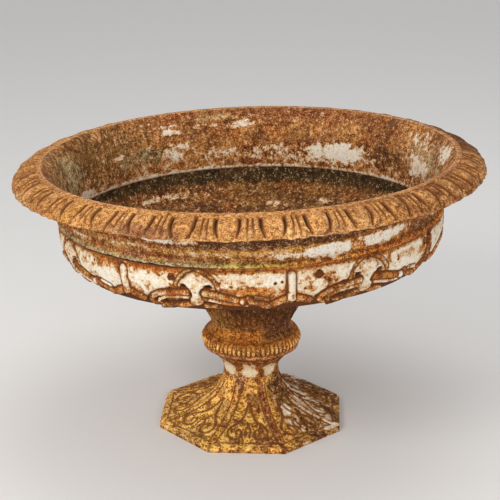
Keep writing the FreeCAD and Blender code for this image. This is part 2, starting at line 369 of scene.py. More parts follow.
# %% Run the tree on a sector
def ring_mesh(sector, count, first_angle, material, seam=0.05):
    """Sets copies of a sector round the axis and returns them as one plain mesh, facing outwards."""
    settings = {"Count": count, "First Angle": math.radians(first_angle), "Seam Distance": seam * MM,
                "Material": material}
    carrier = new_object("carrier", sector)
    modifier = carrier.modifiers.new("ring", "NODES")
    modifier.node_group = RING
    sockets = {s.name: s.identifier for s in RING.interface.items_tree if s.in_out == "INPUT"}
    for label, value in settings.items():
        modifier[sockets[label]] = value
    carrier.update_tag()
    bpy.context.view_layer.update()
    depsgraph = bpy.context.evaluated_depsgraph_get()
    mesh = bpy.data.meshes.new_from_object(carrier.evaluated_get(depsgraph))
    carrier.modifiers.remove(modifier)
    bpy.data.objects.remove(carrier)
    print(f"{sector.name}: {count} in the ring, {len(mesh.vertices)} vertices, "
          f"{face_outwards(mesh):.0f} cubic centimetres")
    return mesh


# %% [markdown]
# ## Colours of old iron
# The colours are named as a restorer would name them. Each is given as it looks on a screen and turned into
# the straight light values that materials use.


# %% Name the colours
def shade(red, green, blue):
    screen = np.array([red, green, blue]) / 255
    return np.where(screen <= 0.04045, screen / 12.92, ((screen + 0.055) / 1.055) ** 2.4)


TAN = shade(203, 146, 88)
TAN_LIGHT = shade(228, 178, 122)
ROSE_TAN = shade(190, 128, 92)
BROWN = shade(140, 86, 44)
DARK_BROWN = shade(92, 54, 26)
DEEP = shade(40, 20, 8)
GROOVE = shade(118, 66, 26)
ORANGE = shade(196, 112, 40)
OCHRE = shade(204, 150, 66)
MAUVE = shade(142, 90, 66)
LICHEN = shade(196, 180, 84)
GREY_GREEN = shade(168, 158, 126)
GREY_FLAKE = shade(180, 164, 132)
MOSS = shade(66, 47, 16)
MOSS_GREEN = shade(76, 66, 22)
PAINT_WHITE = shade(236, 222, 194)
CREAM = shade(226, 202, 150)
STAIN = shade(206, 138, 62)


def tones(first, *layers):
    """Starts from one colour and moves each place towards the colour of each further layer by its weight."""
    mixed = np.tile(first, (len(layers[0][1]), 1))
    for colour, weight in layers:
        mixed = mixed + (colour - mixed) * np.clip(weight, 0, 1)[:, None]
    return mixed


# %% [markdown]
# ## The surface of rust and old paint
# One shader group serves every casting. It takes the tone of the iron at each place, how much old paint
# lies there and how deep the place lies in a groove. It breaks all three up with grain, pits and ragged
# edges, so that paint ends in a stained, chipped border as it does on the real urn.


# %% Helpers for materials
def mix_colour(tree, factor, first, second, blend_type="MIX"):
    """Mixes two colours. The node's inputs 6 and 7 are its colours, and its output 2 is their mix."""
    ends = [value if isinstance(value, bpy.types.NodeSocket) else (*value, 1) for value in (first, second)]
    return add_node(tree, "ShaderNodeMix", {0: factor, 6: ends[0], 7: ends[1]},
                    data_type="RGBA", blend_type=blend_type).outputs[2]


def ramp(tree, value, low, high, to_low=0.0, to_high=1.0):
    limits = {"Value": value, "From Min": low, "From Max": high, "To Min": to_low, "To Max": to_high}
    return add_node(tree, "ShaderNodeMapRange", limits, interpolation_type="SMOOTHSTEP").outputs[0]


def grain(tree, place, scale, detail, roughness=0.6):
    return add_node(tree, "ShaderNodeTexNoise",
                    {"Vector": place, "Scale": scale, "Detail": detail, "Roughness": roughness}).outputs[0]


def empty_material(name):
    """A material without nodes, its tree, and the socket that gives the place in the piece."""
    material = bpy.data.materials.new(name)
    material.use_nodes = True
    tree = material.node_tree
    tree.nodes.clear()
    return material, tree, add_node(tree, "ShaderNodeTexCoord").outputs["Object"]


def close_material(tree, colour, roughness, height, bump, specular):
    """Leads a colour, a roughness and a height in millimetres of bump to the surface."""
    relief = add_node(tree, "ShaderNodeBump", {"Height": height, "Distance": bump * MM, "Strength": 1.0})
    shader = add_node(tree, "ShaderNodeBsdfPrincipled",
                      {"Base Color": colour, "Roughness": roughness, "Normal": relief.outputs[0],
                       "Specular IOR Level": specular})
    add_node(tree, "ShaderNodeOutputMaterial", {0: shader.outputs[0]})


# %% Build the weathered iron group
GRAIN_DARK = (0.34, 0.22, 0.12)
GRAIN_LIGHT = (1.60, 1.62, 1.42)
RUST_CLOUD = (0.24, 0.11, 0.035)
CLOUD_SCALE = 24
SPECK_CREAM = (0.76, 0.58, 0.36)
SOUND_PAINT = (0.90, 0.865, 0.79)
RUST_DOT = (0.30, 0.13, 0.035)
PAINT_DIRT = (0.42, 0.26, 0.12)


def weathered_group():
    colour, number = "NodeSocketColor", "NodeSocketFloat"
    tree, given, result = new_tree(
        "weathered_iron", "ShaderNodeTree",
        [("Tone", colour, (0.5, 0.3, 0.1, 1)), ("Paint", number, 0.0), ("Cavity", number, 0.0),
         ("Paint Colour", colour, (0.8, 0.8, 0.7, 1)), ("Stain Colour", colour, (0.6, 0.3, 0.1, 1)),
         ("Groove Colour", colour, (0.16, 0.05, 0.01, 1)), ("Deep Colour", colour, (0.03, 0.01, 0.01, 1)),
         ("Grain Size", number, 0.0028), ("Contrast", number, 1.0), ("Raggedness", number, 0.8),
         ("Specks", number, 0.3)],
        [("Color", colour), ("Roughness", number), ("Height", number)])
    times, plus, less, scaled = (partial(maths, tree, kind)
                                 for kind in ("MULTIPLY", "ADD", "SUBTRACT", "MULTIPLY_ADD"))
    mix, step = partial(mix_colour, tree), partial(ramp, tree)
    tone, paint, cavity, paint_colour, stain, groove, deep, size, contrast, ragged, specks = list(given)[:11]

    place = add_node(tree, "ShaderNodeTexCoord").outputs["Object"]
    fine_scale = maths(tree, "DIVIDE", 1.0, size)
    broad = grain(tree, place, CLOUD_SCALE, 5)
    middle = grain(tree, place, times(fine_scale, 0.31), 6, 0.68)
    fine = grain(tree, place, fine_scale, 3, 0.6)
    middle_swing, fine_swing = less(middle, 0.5), less(fine, 0.5)
    pits = add_node(tree, "ShaderNodeTexVoronoi", {"Vector": place, "Scale": times(fine_scale, 0.5)},
                    feature="F1").outputs["Distance"]

    # Bare iron: dark and light grain, broad clouds of rust, cream specks and dark pits.
    varied = less(plus(times(middle, 0.52), times(fine, 0.48)), 0.5)
    varied = scaled(varied, times(contrast, 5.2), 0.5)
    varied = add_node(tree, "ShaderNodeClamp", {"Value": varied}).outputs[0]
    iron = mix(varied, mix(1.0, tone, GRAIN_DARK, "MULTIPLY"), mix(1.0, tone, GRAIN_LIGHT, "MULTIPLY"))
    iron = mix(step(broad, 0.40, 0.72, 0.0, 0.25), iron, RUST_CLOUD)
    speck = step(times(fine, step(middle, 0.35, 0.6, 0.7, 1.15)), 0.60, 0.68)
    iron = mix(times(speck, specks), iron, SPECK_CREAM)
    pit = times(step(pits, 0.24, 0.12), step(broad, 0.42, 0.62, 0.2, 0.9))
    iron = mix(times(pit, 0.55), iron, deep)

    # Paint covers where there is enough of it, with a ragged edge and a stain round it.
    edge = plus(times(middle_swing, 1.5), times(fine_swing, 0.8))
    cover = scaled(times(edge, step(paint, 0.0, 0.12)), ragged, paint)
    cover = less(cover, times(cavity, 0.5))
    painted = step(cover, 0.46, 0.54)
    halo = times(step(cover, 0.12, 0.46), step(paint, 0.04, 0.3))
    iron = mix(times(halo, 0.7), iron, stain)
    faded = mix(step(cover, 0.5, 1.0), mix(0.45, stain, paint_colour), paint_colour)
    faded = mix(step(cover, 0.85, 1.25, 0.0, 0.8), faded, SOUND_PAINT)
    faded = mix(times(step(pits, 0.22, 0.12), step(middle, 0.42, 0.62, 0.0, 0.85)), faded, RUST_DOT)
    faded = mix(step(fine, 0.6, 0.36, 0.0, 0.22), faded, PAINT_DIRT)

    # Grooves darken both, and so does the painted shade that some meshes store with their grooves.
    depth = scaled(middle_swing, 0.7, cavity)
    whole = mix(step(depth, 0.10, 0.50, 0.0, 0.85), mix(painted, iron, faded), groove)
    whole = mix(step(depth, 0.58, 0.98, 0.0, 0.95), whole, deep)
    rough = scaled(fine_swing, 0.25, step(painted, 0.0, 1.0, 0.92, 0.62))
    crust = less(plus(times(middle, 0.9), times(fine, 0.45)), times(pit, 0.35))
    skin = scaled(less(crust, 0.7), 0.3, 1.0)
    height = add_node(tree, "ShaderNodeMix", {0: painted, 2: crust, 3: skin}, data_type="FLOAT").outputs[0]
    for label, socket in (("Color", whole), ("Roughness", rough), ("Height", height)):
        tree.links.new(socket, result[label])
    return tree


WEATHERED = weathered_group()
print("weathered iron group has", len(WEATHERED.nodes), "nodes")


# %% Make the materials of the castings
FLAKE_SCALE = 90
MESH_LOOK = (("Tone", "tone", "Color"), ("Paint", "paint", "Fac"), ("Cavity", "cavity", "Fac"))


def iron_material(name, paint=PAINT_WHITE, stain=STAIN, groove=GROOVE, deep=DEEP, grain_size=2.8,
                  contrast=1.0, ragged=0.8, specks=0.3, bump=0.9, flakes=None):
    """A material of the weathered group, led by what its mesh stores, or bare flakes of two colours."""
    material, tree, place = empty_material(name)
    given = {"Paint Colour": (*paint, 1), "Stain Colour": (*stain, 1), "Groove Colour": (*groove, 1),
             "Deep Colour": (*deep, 1), "Grain Size": grain_size * MM, "Contrast": contrast,
             "Raggedness": ragged, "Specks": specks}
    if flakes:
        given["Tone"] = mix_colour(tree, ramp(tree, grain(tree, place, FLAKE_SCALE, 4), 0.4, 0.62), *flakes)
    else:
        for label, field, output in MESH_LOOK:
            given[label] = add_node(tree, "ShaderNodeAttribute", attribute_name=field).outputs[output]
    group = add_node(tree, "ShaderNodeGroup", node_tree=WEATHERED)
    for label, value in given.items():
        if isinstance(value, bpy.types.NodeSocket):
            tree.links.new(value, group.inputs[label])
        else:
            group.inputs[label].default_value = value
    look = (group.outputs[label] for label in ("Color", "Roughness", "Height"))
    close_material(tree, *look, bump=bump, specular=0.3)
    return material


RIM_DEEP = shade(78, 42, 16)
WALL_PAINT = shade(240, 230, 208)
BODY_GROOVE = shade(100, 50, 14)
STEM_PAINT = shade(246, 230, 192)
RIM_IRON = iron_material("rim_iron_tan_rust", deep=RIM_DEEP, grain_size=2.3, specks=0.35,
                         contrast=1.25, bump=1.1)
WALL_IRON = iron_material("bowl_wall_rust_and_paint", paint=WALL_PAINT, grain_size=3.2, ragged=1.9,
                          contrast=1.6, specks=0.5)
BODY_IRON = iron_material("bowl_body_white_paint", groove=BODY_GROOVE, ragged=1.2, specks=0.25,
                          contrast=1.4)
STEM_IRON = iron_material("stem_brown_rust", paint=STEM_PAINT, ragged=1.2, contrast=1.8)
FOOT_IRON = iron_material("foot_ochre_rust", ragged=1.5, specks=0.6, contrast=2.5, grain_size=3.4)
print("iron materials:", ", ".join(m.name for m in (RIM_IRON, WALL_IRON, BODY_IRON, STEM_IRON, FOOT_IRON)))


# %% A helper that sets a finished mesh in its place
def place_piece(name, mesh, matrix, slot, material, *nodes):
    """Gives a drawn mesh its place, material and body, and hides the castings that it stands for. The slot is
    not used.
    """
    mesh.transform(matrix)
    mesh.polygons.foreach_set("use_smooth", np.ones(len(mesh.polygons), bool))
    mesh.materials.clear()
    mesh.materials.append(material)
    mesh.update()
    piece = new_object(name, mesh)
    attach(piece, "root")
    if nodes:
        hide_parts(*nodes)
    mesh.calc_loop_triangles()
    print(f"{name}: {len(mesh.loop_triangles)} triangles")

# %% [markdown]
# ## The egg-and-dart rim
# The rim is a rounded moulding with 36 eggs. Each egg sits in a deep cut, with a husk on each side, and a
# dart stands where two husks meet. The eggs could be solids joined to a plain ring, but a height over the
# turned section keeps one skin with no joints, as in a casting. One sector of ten degrees, with the egg in
# its middle, is drawn so, and the ring tree repeats it. The lower edge of the casting is lumpy, so the whole
# ring is roughened afterwards, when no two eggs need to match any more.

# %% Section of the rim moulding
EDGE_LEVEL = 242
LIP_LEVEL = 270.6
LIP_RADIUS = RIM_RADIUS - 58
SOFFIT_START = (RIM_RADIUS - 27, EDGE_LEVEL - 8.6)
RIM_EDGE = (RIM_RADIUS - 0.9, EDGE_LEVEL)
OVOLO_TOP = (RIM_RADIUS - 46.5, LIP_LEVEL - 2.2)
SOFFIT_ROWS = 9
OVOLO_ROWS = 34

rim_section = section(
    SOFFIT_START,
    (RIM_EDGE, SOFFIT_ROWS),
    (OVOLO_TOP, OVOLO_ROWS, (0.05, 0.31), (0.56, 0.88)),
    ((RIM_RADIUS - 47, LIP_LEVEL), 2),
    ((LIP_RADIUS + 1.5, LIP_LEVEL), 6),
    ((LIP_RADIUS + 0.4, LIP_LEVEL - 4), 3, (1.0, 0.1)),
    *curve((LIP_RADIUS + 6, LIP_LEVEL - 9), SOFFIT_START, 3)[:-1])
print("rim section has", len(rim_section), "points")

# %% Draw one egg with its husks and darts
EGG_COUNT = 36
EGG_FIRST = 5.4
EGG_COLUMNS = 42
EGG_HEIGHT = 4.8
HUSK_HEIGHT = 3.2
DART_HEIGHT = 2.0
EGG_CUT = 5.4
DART_CUT = 3.4
UNDER_CUT = 1.2
OVOLO_SINK = 2.4


def egg_relief(across, up):
    """Height, and depth of cut with painted shade beside the cuts, over one period. Across runs from -0.5 to
    0.5, up from the edge to the top.
    """
    side = np.abs(across)
    lower = 1 - smooth(0.14, 0.66, up)
    egg_half = 0.236 - 0.075 * lower ** 1.3
    dart_half = 0.048 + 0.03 * lower
    husk_half = (0.5 - dart_half - egg_half - 0.062) / 2
    ends = smooth(0.99, 0.93, up)
    egg = bar(side, egg_half + 0.01) * smooth(0.08, 0.26, up) * (1 - 0.3 * smooth(0.86, 0.96, up))
    husk = bar(side - egg_half - 0.056 - husk_half, husk_half + 0.004) * smooth(0.04, 0.24, up) * ends
    dart = bar(0.5 - side, dart_half - 0.01) * smooth(0.04, 0.2, up) * ends
    deep = cut(side - egg_half - 0.030, np.where(across < 0, 0.038, 0.030)) * smooth(0.10, 0.24, up) * ends
    second = cut(0.5 - side - dart_half - 0.008, 0.020) * smooth(0.14, 0.34, up) * ends
    bowed = up - 0.14 - 0.10 * np.clip(side / egg_half, 0, 1) ** 2
    under = cut(bowed, 0.03) * (side < egg_half + 0.02) * 0.35
    height = (EGG_HEIGHT * egg + HUSK_HEIGHT * husk + DART_HEIGHT * dart
              - EGG_CUT * deep - DART_CUT * second - UNDER_CUT * under)
    worn = 0.35 + 0.65 * smooth(0.2, 0.75, up)
    # Painted shade: a soft darkening beside each cut, so the eggs and husks look domed.
    beside = cut(side - egg_half - 0.04, 0.10) * smooth(0.2, 0.6, up) * ends
    return height, np.clip((deep + 0.85 * second) * worn + 0.3 * under + 0.22 * beside, 0, 1)


def sector_angles(count, columns):
    return np.linspace(-math.pi / count, math.pi / count, columns + 1)


def rim_sector():
    angles = sector_angles(EGG_COUNT, EGG_COLUMNS)
    rows = (np.arange(len(rim_section)) - SOFFIT_ROWS) / OVOLO_ROWS
    across, up = np.meshgrid(angles * EGG_COUNT / (2 * math.pi), rows)
    height, cavity = egg_relief(across, np.clip(up, 0, 1))
    on_ovolo = smooth(-0.06, 0.02, up) * (1 - smooth(0.99, 1.03, up))
    height = (height - OVOLO_SINK * smooth(0.0, 0.2, up)) * on_ovolo
    return grid_mesh("rim_sector", turned_places(rim_section, angles, height), {"cavity": cavity * on_ovolo})


rim_mesh = ring_mesh(rim_sector(), EGG_COUNT, EGG_FIRST, RIM_IRON)


# %% Weather the rim and tone its iron
def weather_rim(mesh):
    places = read_places(mesh)
    angle, radius, level = polar(places)
    low = 1 - smooth(EDGE_LEVEL, EDGE_LEVEL + 12, level)
    top = smooth(LIP_LEVEL - 1.6, LIP_LEVEL - 0.2, level)
    swell(mesh, cloud(places, 10, 11, 3) * (0.75 + 0.9 * low - 0.55 * top))
    moved = read_places(mesh)
    ragged = np.clip(cloud(places, 17, 12, 3), -0.9, 0.35)
    moved[:, 2] += (ragged * 2.4 - 2.0) * low * smooth(RIM_RADIUS - 26, RIM_RADIUS - 8, radius)
    reach = np.hypot(moved[:, 0], moved[:, 1])
    moved[:, :2] *= np.minimum(1, (RIM_RADIUS - 0.05) / reach)[:, None]
    write_places(mesh, moved)

    broad = cloud(places, 60, 21)
    small = cloud(places, 12, 22)
    tone = tones(
        TAN,
        (TAN_LIGHT, smooth(-0.1, 0.6, broad + 0.5 * small) * 0.6),
        (BROWN, smooth(0.1, 0.7, small - 0.4 * broad) * 0.5),
        (OCHRE, smooth(0.15, 0.7, cloud(places, 45, 23)) * 0.4),
        (MAUVE, spot(angle, level, (-23, EDGE_LEVEL + 4), (10, 11), 0.5 * small) * 0.75),
        (MAUVE, spot(angle, level, (18, EDGE_LEVEL + 6), (4, 7), 0.5 * small) * 0.4),
        # Painted shade: the rim is darkened towards its right side, and its outside at the back much more,
        # where the eggs lie in shade.
        (BROWN, smooth(10, 45, angle) * (0.62 + 0.9 * small)),
        (DARK_BROWN, smooth(80, 94, angle) * smooth(165, 135, angle) * (1 - top) * (1.0 + 0.4 * small)),
        (BROWN, smooth(-30, -80, angle) * (0.38 + 0.3 * small)),
        (ROSE_TAN, top * 0.45),
        # Painted highlight: a pale line along the inner edge of the lip.
        (CREAM, top * smooth(LIP_RADIUS + 4.5, LIP_RADIUS + 2.5, radius) * 0.3),
        (GREY_FLAKE, smooth(0.25, 0.7, cloud(places, 12, 24)) * low * 0.6))
    nub = spot(angle, level, (17.0, 262), (1.0, 4.5), 0.1 * small)
    # Painted shade: the grooves are darkened more towards both sides of the rim.
    sides = 1 + 0.9 * smooth(20, 60, angle) + 0.4 * smooth(-30, -70, angle)
    write_look(mesh, tone, nub * 0.5, np.clip(read_field(mesh, "cavity") * sides, 0, 1) * (1 - top))


weather_rim(rim_mesh)
place_piece("rim_moulding", rim_mesh, LEAN, "rim_iron", RIM_IRON)

# %% [markdown]
# ## The wall of the bowl
# Inside, the upper casting falls steeply from the lip to a ledge. Outside, a hollow neck runs from under
# the rim down to the ridge over the joint. Both are plain turned surfaces, so one closed section is swung
# round, which is simpler than a screw modifier and gives every place its angle and level. What makes them
# real is where rust, paint and damp lie, and that follows the photograph in named patches.

# %% Section of the wall
BORE_RADIUS = BOWL_RADIUS - 13
SPIGOT_RADIUS = BOWL_RADIUS - 7
SPIGOT_LEVEL = BODY_TOP - 18
RIDGE_RADIUS = BOWL_RADIUS + 3.4
WALL_START = (BORE_RADIUS + 0.4, SPIGOT_LEVEL)
FLARE_FOOT = (BORE_RADIUS, BODY_TOP - 1)
WALL_COLUMNS = 900

wall_section = section(
    WALL_START,
    (SPIGOT_RADIUS, SPIGOT_LEVEL),
    (SPIGOT_RADIUS, BODY_TOP + 0.4),
    ((RIDGE_RADIUS, BODY_TOP + 0.4), 3),
    ((RIDGE_RADIUS, BODY_TOP + 3.4), 2),
    ((BOWL_RADIUS - 2, BODY_TOP + 9), 4, (0, 0.55)),
    ((RIM_RADIUS - 24, EDGE_LEVEL - 7.6), 26, (-0.07, 0.68), (0.33, 0.94)),
    (RIM_RADIUS - 26, EDGE_LEVEL + 2),
    (RIM_RADIUS - 50, LIP_LEVEL - 7),
    (LIP_RADIUS, LIP_LEVEL - 1.2),
    (FLARE_FOOT, 34, (0.47, 0.18), (1.0, 0.5)),
    *curve(FLARE_FOOT, WALL_START, 5)[:-1])
wall_mesh = turned_mesh("bowl_wall", wall_section, WALL_COLUMNS)

# %% Roughen the wall and chip the ridge
RIDGE_LEVEL = 169
RIDGE_CHIP = 2.2


def roughen_wall(mesh):
    """Roughens the wall a little and the ridge much more, and breaks the ridge's lower edge on the left."""
    swell(mesh, cloud(read_places(mesh), 24, 41) * 0.5)
    places = read_places(mesh)
    angle, radius, level = polar(places)
    on_ridge = smooth(4, 2, np.abs(level - RIDGE_LEVEL)) * (radius > BOWL_RADIUS - 3)
    swell(mesh, cloud(places, 9, 42) * 2.2 * on_ridge)
    places = read_places(mesh)
    angle, radius, level = polar(places)
    low_edge = (radius > BOWL_RADIUS - 1) & (level < BODY_TOP + 2.4)
    on_left = spot(angle, 0, (-40, 0), (30, 1))
    places[:, 2] += RIDGE_CHIP * low_edge * smooth(-0.1, 0.4, cloud(places, 12, 43)) * on_left
    write_places(mesh, places)


roughen_wall(wall_mesh)

# %% Patches of paint on the wall
RED_BROWN = shade(124, 62, 36)
SAND = shade(190, 160, 108)
OLIVE_BROWN = shade(124, 90, 44)
PALE_GREY = shade(196, 180, 144)
UMBER = shade(96, 74, 42)
GREY_CREAM = shade(190, 174, 142)
WARM_ORANGE = shade(214, 120, 30)
GOLD = shade(228, 184, 96)
PALE_GOLD = shade(226, 188, 108)
RUST_BROWN = shade(150, 78, 22)
DULL_BROWN = shade(140, 84, 52)
NUT_BROWN = shade(150, 84, 34)

# Each patch is an angle and a level, a half width in degrees, a half height and a strength.
PAINT_INSIDE = (
    (148, 183, 11, 21, 1.1), (139, 178, 6, 9, 0.7), (109, 204, 7, 24, 0.85), (112, 244, 7, 15, 0.55),
    (92, 250, 5, 16, 0.85), (-153, 236, 3.4, 6, 0.85), (-152, 247, 6, 3, 0.5), (-156, 205, 3, 6, 0.75),
    (-153, 190, 4.5, 17, 0.8), (-178, 241, 4, 8, 0.75), (-165, 240, 5, 4, 0.55), (-111, 160, 6, 10, 0.85),
    (-131, 206, 3.5, 6, 0.6), (172, 180, 9, 14, 0.5), (-170, 182, 9, 12, 0.5), (160, 168, 12, 8, 0.6),
    (20, 200, 16, 22, 0.8), (-40, 190, 14, 20, 0.8), (70, 196, 10, 18, 0.7))
PAINT_OUTSIDE = (
    (38, 187, 9, 10, 1.1), (45, 192, 6, 8, 0.66), (23, 185, 9, 12, 1.05), (11, 182, 9, 6, 0.66),
    (-22, 211, 10, 6, 0.75), (-38, 194, 16, 5, 0.46), (-56, 182, 6, 6, 0.62), (-66, 192, 5, 7, 0.66),
    (-13, 190, 12, 5, 0.4), (3, 184, 13, 8, 0.42), (70, 192, 9, 12, 0.8), (95, 196, 12, 12, 0.6),
    (130, 190, 20, 12, 0.6), (175, 192, 18, 12, 0.6), (-140, 192, 20, 12, 0.6), (-95, 192, 14, 12, 0.6))
print(len(PAINT_INSIDE), "patches inside and", len(PAINT_OUTSIDE), "outside")


# %% Tone the inside of the wall
STRETCH = 0.16


def wall_inside(places, broad, small):
    """Tone and paint of the inner side. Rust has run down it in upright streaks."""
    angle, radius, level = polar(places)
    patch = partial(spot, angle, level)
    run = cloud(np.stack([np.radians(angle) * BOWL_RADIUS, level * STRETCH, 0 * level], 1), 13, 33)
    back = np.abs((angle + 360) % 360 - 180)
    behind = smooth(238, 254, level) * smooth(75, 20, back) * smooth(-0.6, 0.3, small + broad)
    tone = tones(
        BROWN,
        (TAN, smooth(-0.3, 0.4, broad + 0.7 * small) * 0.8),
        (ORANGE, smooth(0.1, 0.6, cloud(places, 24, 34)) * 0.4),
        (DARK_BROWN, smooth(0.15, 0.6, cloud(places, 20, 35)) * 0.6),
        (MAUVE, smooth(0.2, 0.6, cloud(places, 34, 36)) * 0.35),
        (RED_BROWN, behind * 0.75),
        (SAND, patch((-168, 255), (8, 4), 0.7 * small) * 0.7),
        (OLIVE_BROWN, patch((-112, 205), (34, 70), 0.5 * run) * 0.75),
        (PALE_GREY, patch((-102, 212), (9, 44), 0.4 * run) * smooth(-0.4, 0.3, run) * 0.75),
        (DARK_BROWN, smooth(0.05, 0.5, run) * patch((-108, 190), (17, 40), 0.3) * 0.7),
        (DARK_BROWN, patch((128, 190), (10, 26), 0.6 * small) * 0.85),
        (UMBER, patch((-146, 192), (7, 18), 0.6 * small) * 0.8),
        (GREY_GREEN, patch((-140, 192), (9, 16), 0.5 * small) * 0.45),
        (GREY_CREAM, patch((103, 215), (15, 44), 0.5 * run) * smooth(-0.5, 0.3, run + small) * 0.75))
    rough = 0.45 * small + 0.2 * broad + 0.45 * cloud(places, 6, 38, 3)
    thin_paint = 0.05 + 0.20 * smooth(225, 165, level) + 0.14 * small + 0.10 * broad
    ledge = smooth(SPIGOT_LEVEL + 10, SPIGOT_LEVEL + 4, level + 3 * small) * (0.72 + 0.3 * broad)
    return tone, np.maximum.reduce([thin_paint, patches(angle, level, PAINT_INSIDE, rough), ledge])


# %% Tone the outside of the wall, and join both sides
def wall_outside(places, broad, small):
    """Tone, paint and depth of the outer side, with painted shadow under the rim. Its streaks run level round
    the neck.
    """
    angle, radius, level = polar(places)
    patch = partial(spot, angle, level)
    streak = cloud(np.stack([np.radians(angle) * BOWL_RADIUS * STRETCH, level, 0 * level], 1), 7, 37)
    ridge_flakes = smooth(BODY_TOP + 10, BODY_TOP + 6, level) * patch((-40, 168), (34, 30), 0.3 * small)
    tone = tones(
        WARM_ORANGE,
        (OCHRE, smooth(-0.3, 0.4, broad + 0.6 * small) * 0.7),
        (GOLD, smooth(0.05, 0.45, streak) * smooth(214, 196, level) * 0.7),
        (PALE_GOLD, patch((-14, 188), (34, 8), 0.6 * streak) * 0.7),
        (MAUVE, patch((-24, 179), (26, 5), 0.4 * streak) * 0.95),
        (MAUVE, patch((-42, 184), (16, 5), 0.5 * streak) * 0.6),
        # Painted shadow: the upper neck darkens towards the underside of the rim.
        (DARK_BROWN, smooth(190, 210, level + 8 * small) * 0.95),
        (RUST_BROWN, smooth(0.0, -0.4, streak) * 0.6),
        (LICHEN, patch((-4, 170), (15, 6), 0.4 * small) * 0.95),
        # Painted shadow: a brown stripe just above the ridge.
        (BROWN, patch((22, 174), (34, 4), 0.4 * small) * 0.85),
        # Painted shadow: a darker band under the rim at the front.
        (DARK_BROWN, patch((4, 209), (32, 13), 0.5 * small) * 0.95),
        (DARK_BROWN, patch((56, 180), (12, 11), 0.5 * small) * 0.8),
        (DULL_BROWN, patch((56, 194), (8, 12), 0.6 * small) * 0.8),
        (NUT_BROWN, patch((-62, 186), (18, 16), 0.5 * small) * 0.7),
        (GREY_FLAKE, ridge_flakes * 0.95))
    paint = patches(angle, level, PAINT_OUTSIDE, 0.2 * small + 0.4 * streak) * (1 + 0.5 * streak)
    paint = np.maximum(0.05 + 0.34 * streak + 0.1 * broad, paint)
    paint = paint - 0.4 * patch((30, 182), (2.4, 10), 0.5 * small)
    open_gap = 0.5 + 0.5 * patch((-28, 166), (26, 30), 0.3 * small)
    gap = smooth(BODY_TOP + 2.2, BODY_TOP + 0.2, level) * open_gap
    # The groove colour towards the top is painted shadow under the rim; the gap under the ridge is a dark
    # joint.
    cavity = np.maximum(gap * 0.95, smooth(204, 226, level) * 0.35)
    return tone, np.clip(0.5 + 1.5 * (paint - 0.5), 0, 1.3), cavity


def tone_wall(mesh):
    places = read_places(mesh)
    broad = cloud(places, 80, 31)
    small = cloud(places, 20, 32)
    inner_tone, inner_paint = wall_inside(places, broad, small)
    outer_tone, outer_paint, cavity = wall_outside(places, broad, small)
    inside = smooth(0, -50, np.einsum("ij,ij->i", normals_of(mesh)[:, :2], places[:, :2]))
    tone = inner_tone * inside[:, None] + outer_tone * (1 - inside)[:, None]
    write_look(mesh, tone, inner_paint * inside + outer_paint * (1 - inside), cavity * (1 - inside))


tone_wall(wall_mesh)
place_piece("bowl_wall", wall_mesh, LEAN, "rim_iron", WALL_IRON, "rim_ring")

# %% [markdown]
# ## The strapwork body
# The lower casting carries seven flat straps with rounded tops, seven palmettes, and between them sunk
# panels whose lower edges slope down to rounded arms and scrolls, like logs laid end to end. One sector runs
# from one palmette to the next, with a strap in its middle. The moulder of this urn didn't space his
# patterns evenly, so the ring is made even by the tree, and then each strap and palmette is turned to the
# angle where it stands on the urn.

# %% Sizes of the body's ornament
BODY_COUNT = 7
BODY_COLUMNS = 198
MOTIF_START = 11.0
HALF = math.pi * BOWL_RADIUS / BODY_COUNT
UNDER_EDGE = (BOWL_RADIUS - 30, 79)

band_section = section(
    UNDER_EDGE,
    ((BOWL_RADIUS - 21, 88), 7, (1, 0)),
    ((BOWL_RADIUS, BODY_TOP - 31), 30, (0.75, 0.5)),
    ((BOWL_RADIUS, BODY_TOP), 22))
BAND_FRONT = len(band_section)
band_section = section(
    *band_section,
    (BOWL_RADIUS - 2, BODY_TOP + 0.2),
    (BOWL_RADIUS - 5.7, BODY_TOP),
    (BOWL_RADIUS - 5.7, 134),
    (BOWL_RADIUS - 14, 106),
    (BOWL_RADIUS - 34, 84))
print(f"one period of the body is {2 * HALF:.1f} mm long, and its front has {BAND_FRONT} rows")

# %% Lay out the lines of the strapwork
# Lines are places across from the strap and up. L and R are the middles of the palmettes beside it.
L, R = -HALF, HALF
PANEL_EDGE = (
    (L, 129), (L + 14, 128), (L + 40, 122), (L + 62, 115), (L + 74, 111), (L + 81, 111), (L + 90, 115),
    (L + 108, 106), (-42, 98), (-37, 100), (-20, 109), (-4, 115), (4, 115), (20, 110), (36, 104),
    (R - 118, 99), (R - 101, 111), (R - 84, 118), (R - 60, 124), (R - 34, 126), (R - 14, 128), (R, 129))
LEAF_LEVELS = (93, 96, 101, 107, 113, 119, 124, 128, 131, 134, 138, 143, 150, 156, 160)
LEAF_WIDTHS = (0, 8, 15, 14, 9, 8.5, 10, 13, 19, 28, 31, 26, 16, 7, 0)
HOOD = ((0, 164.5), (18, 158), (31, 147), (39, 136), (41, 127))

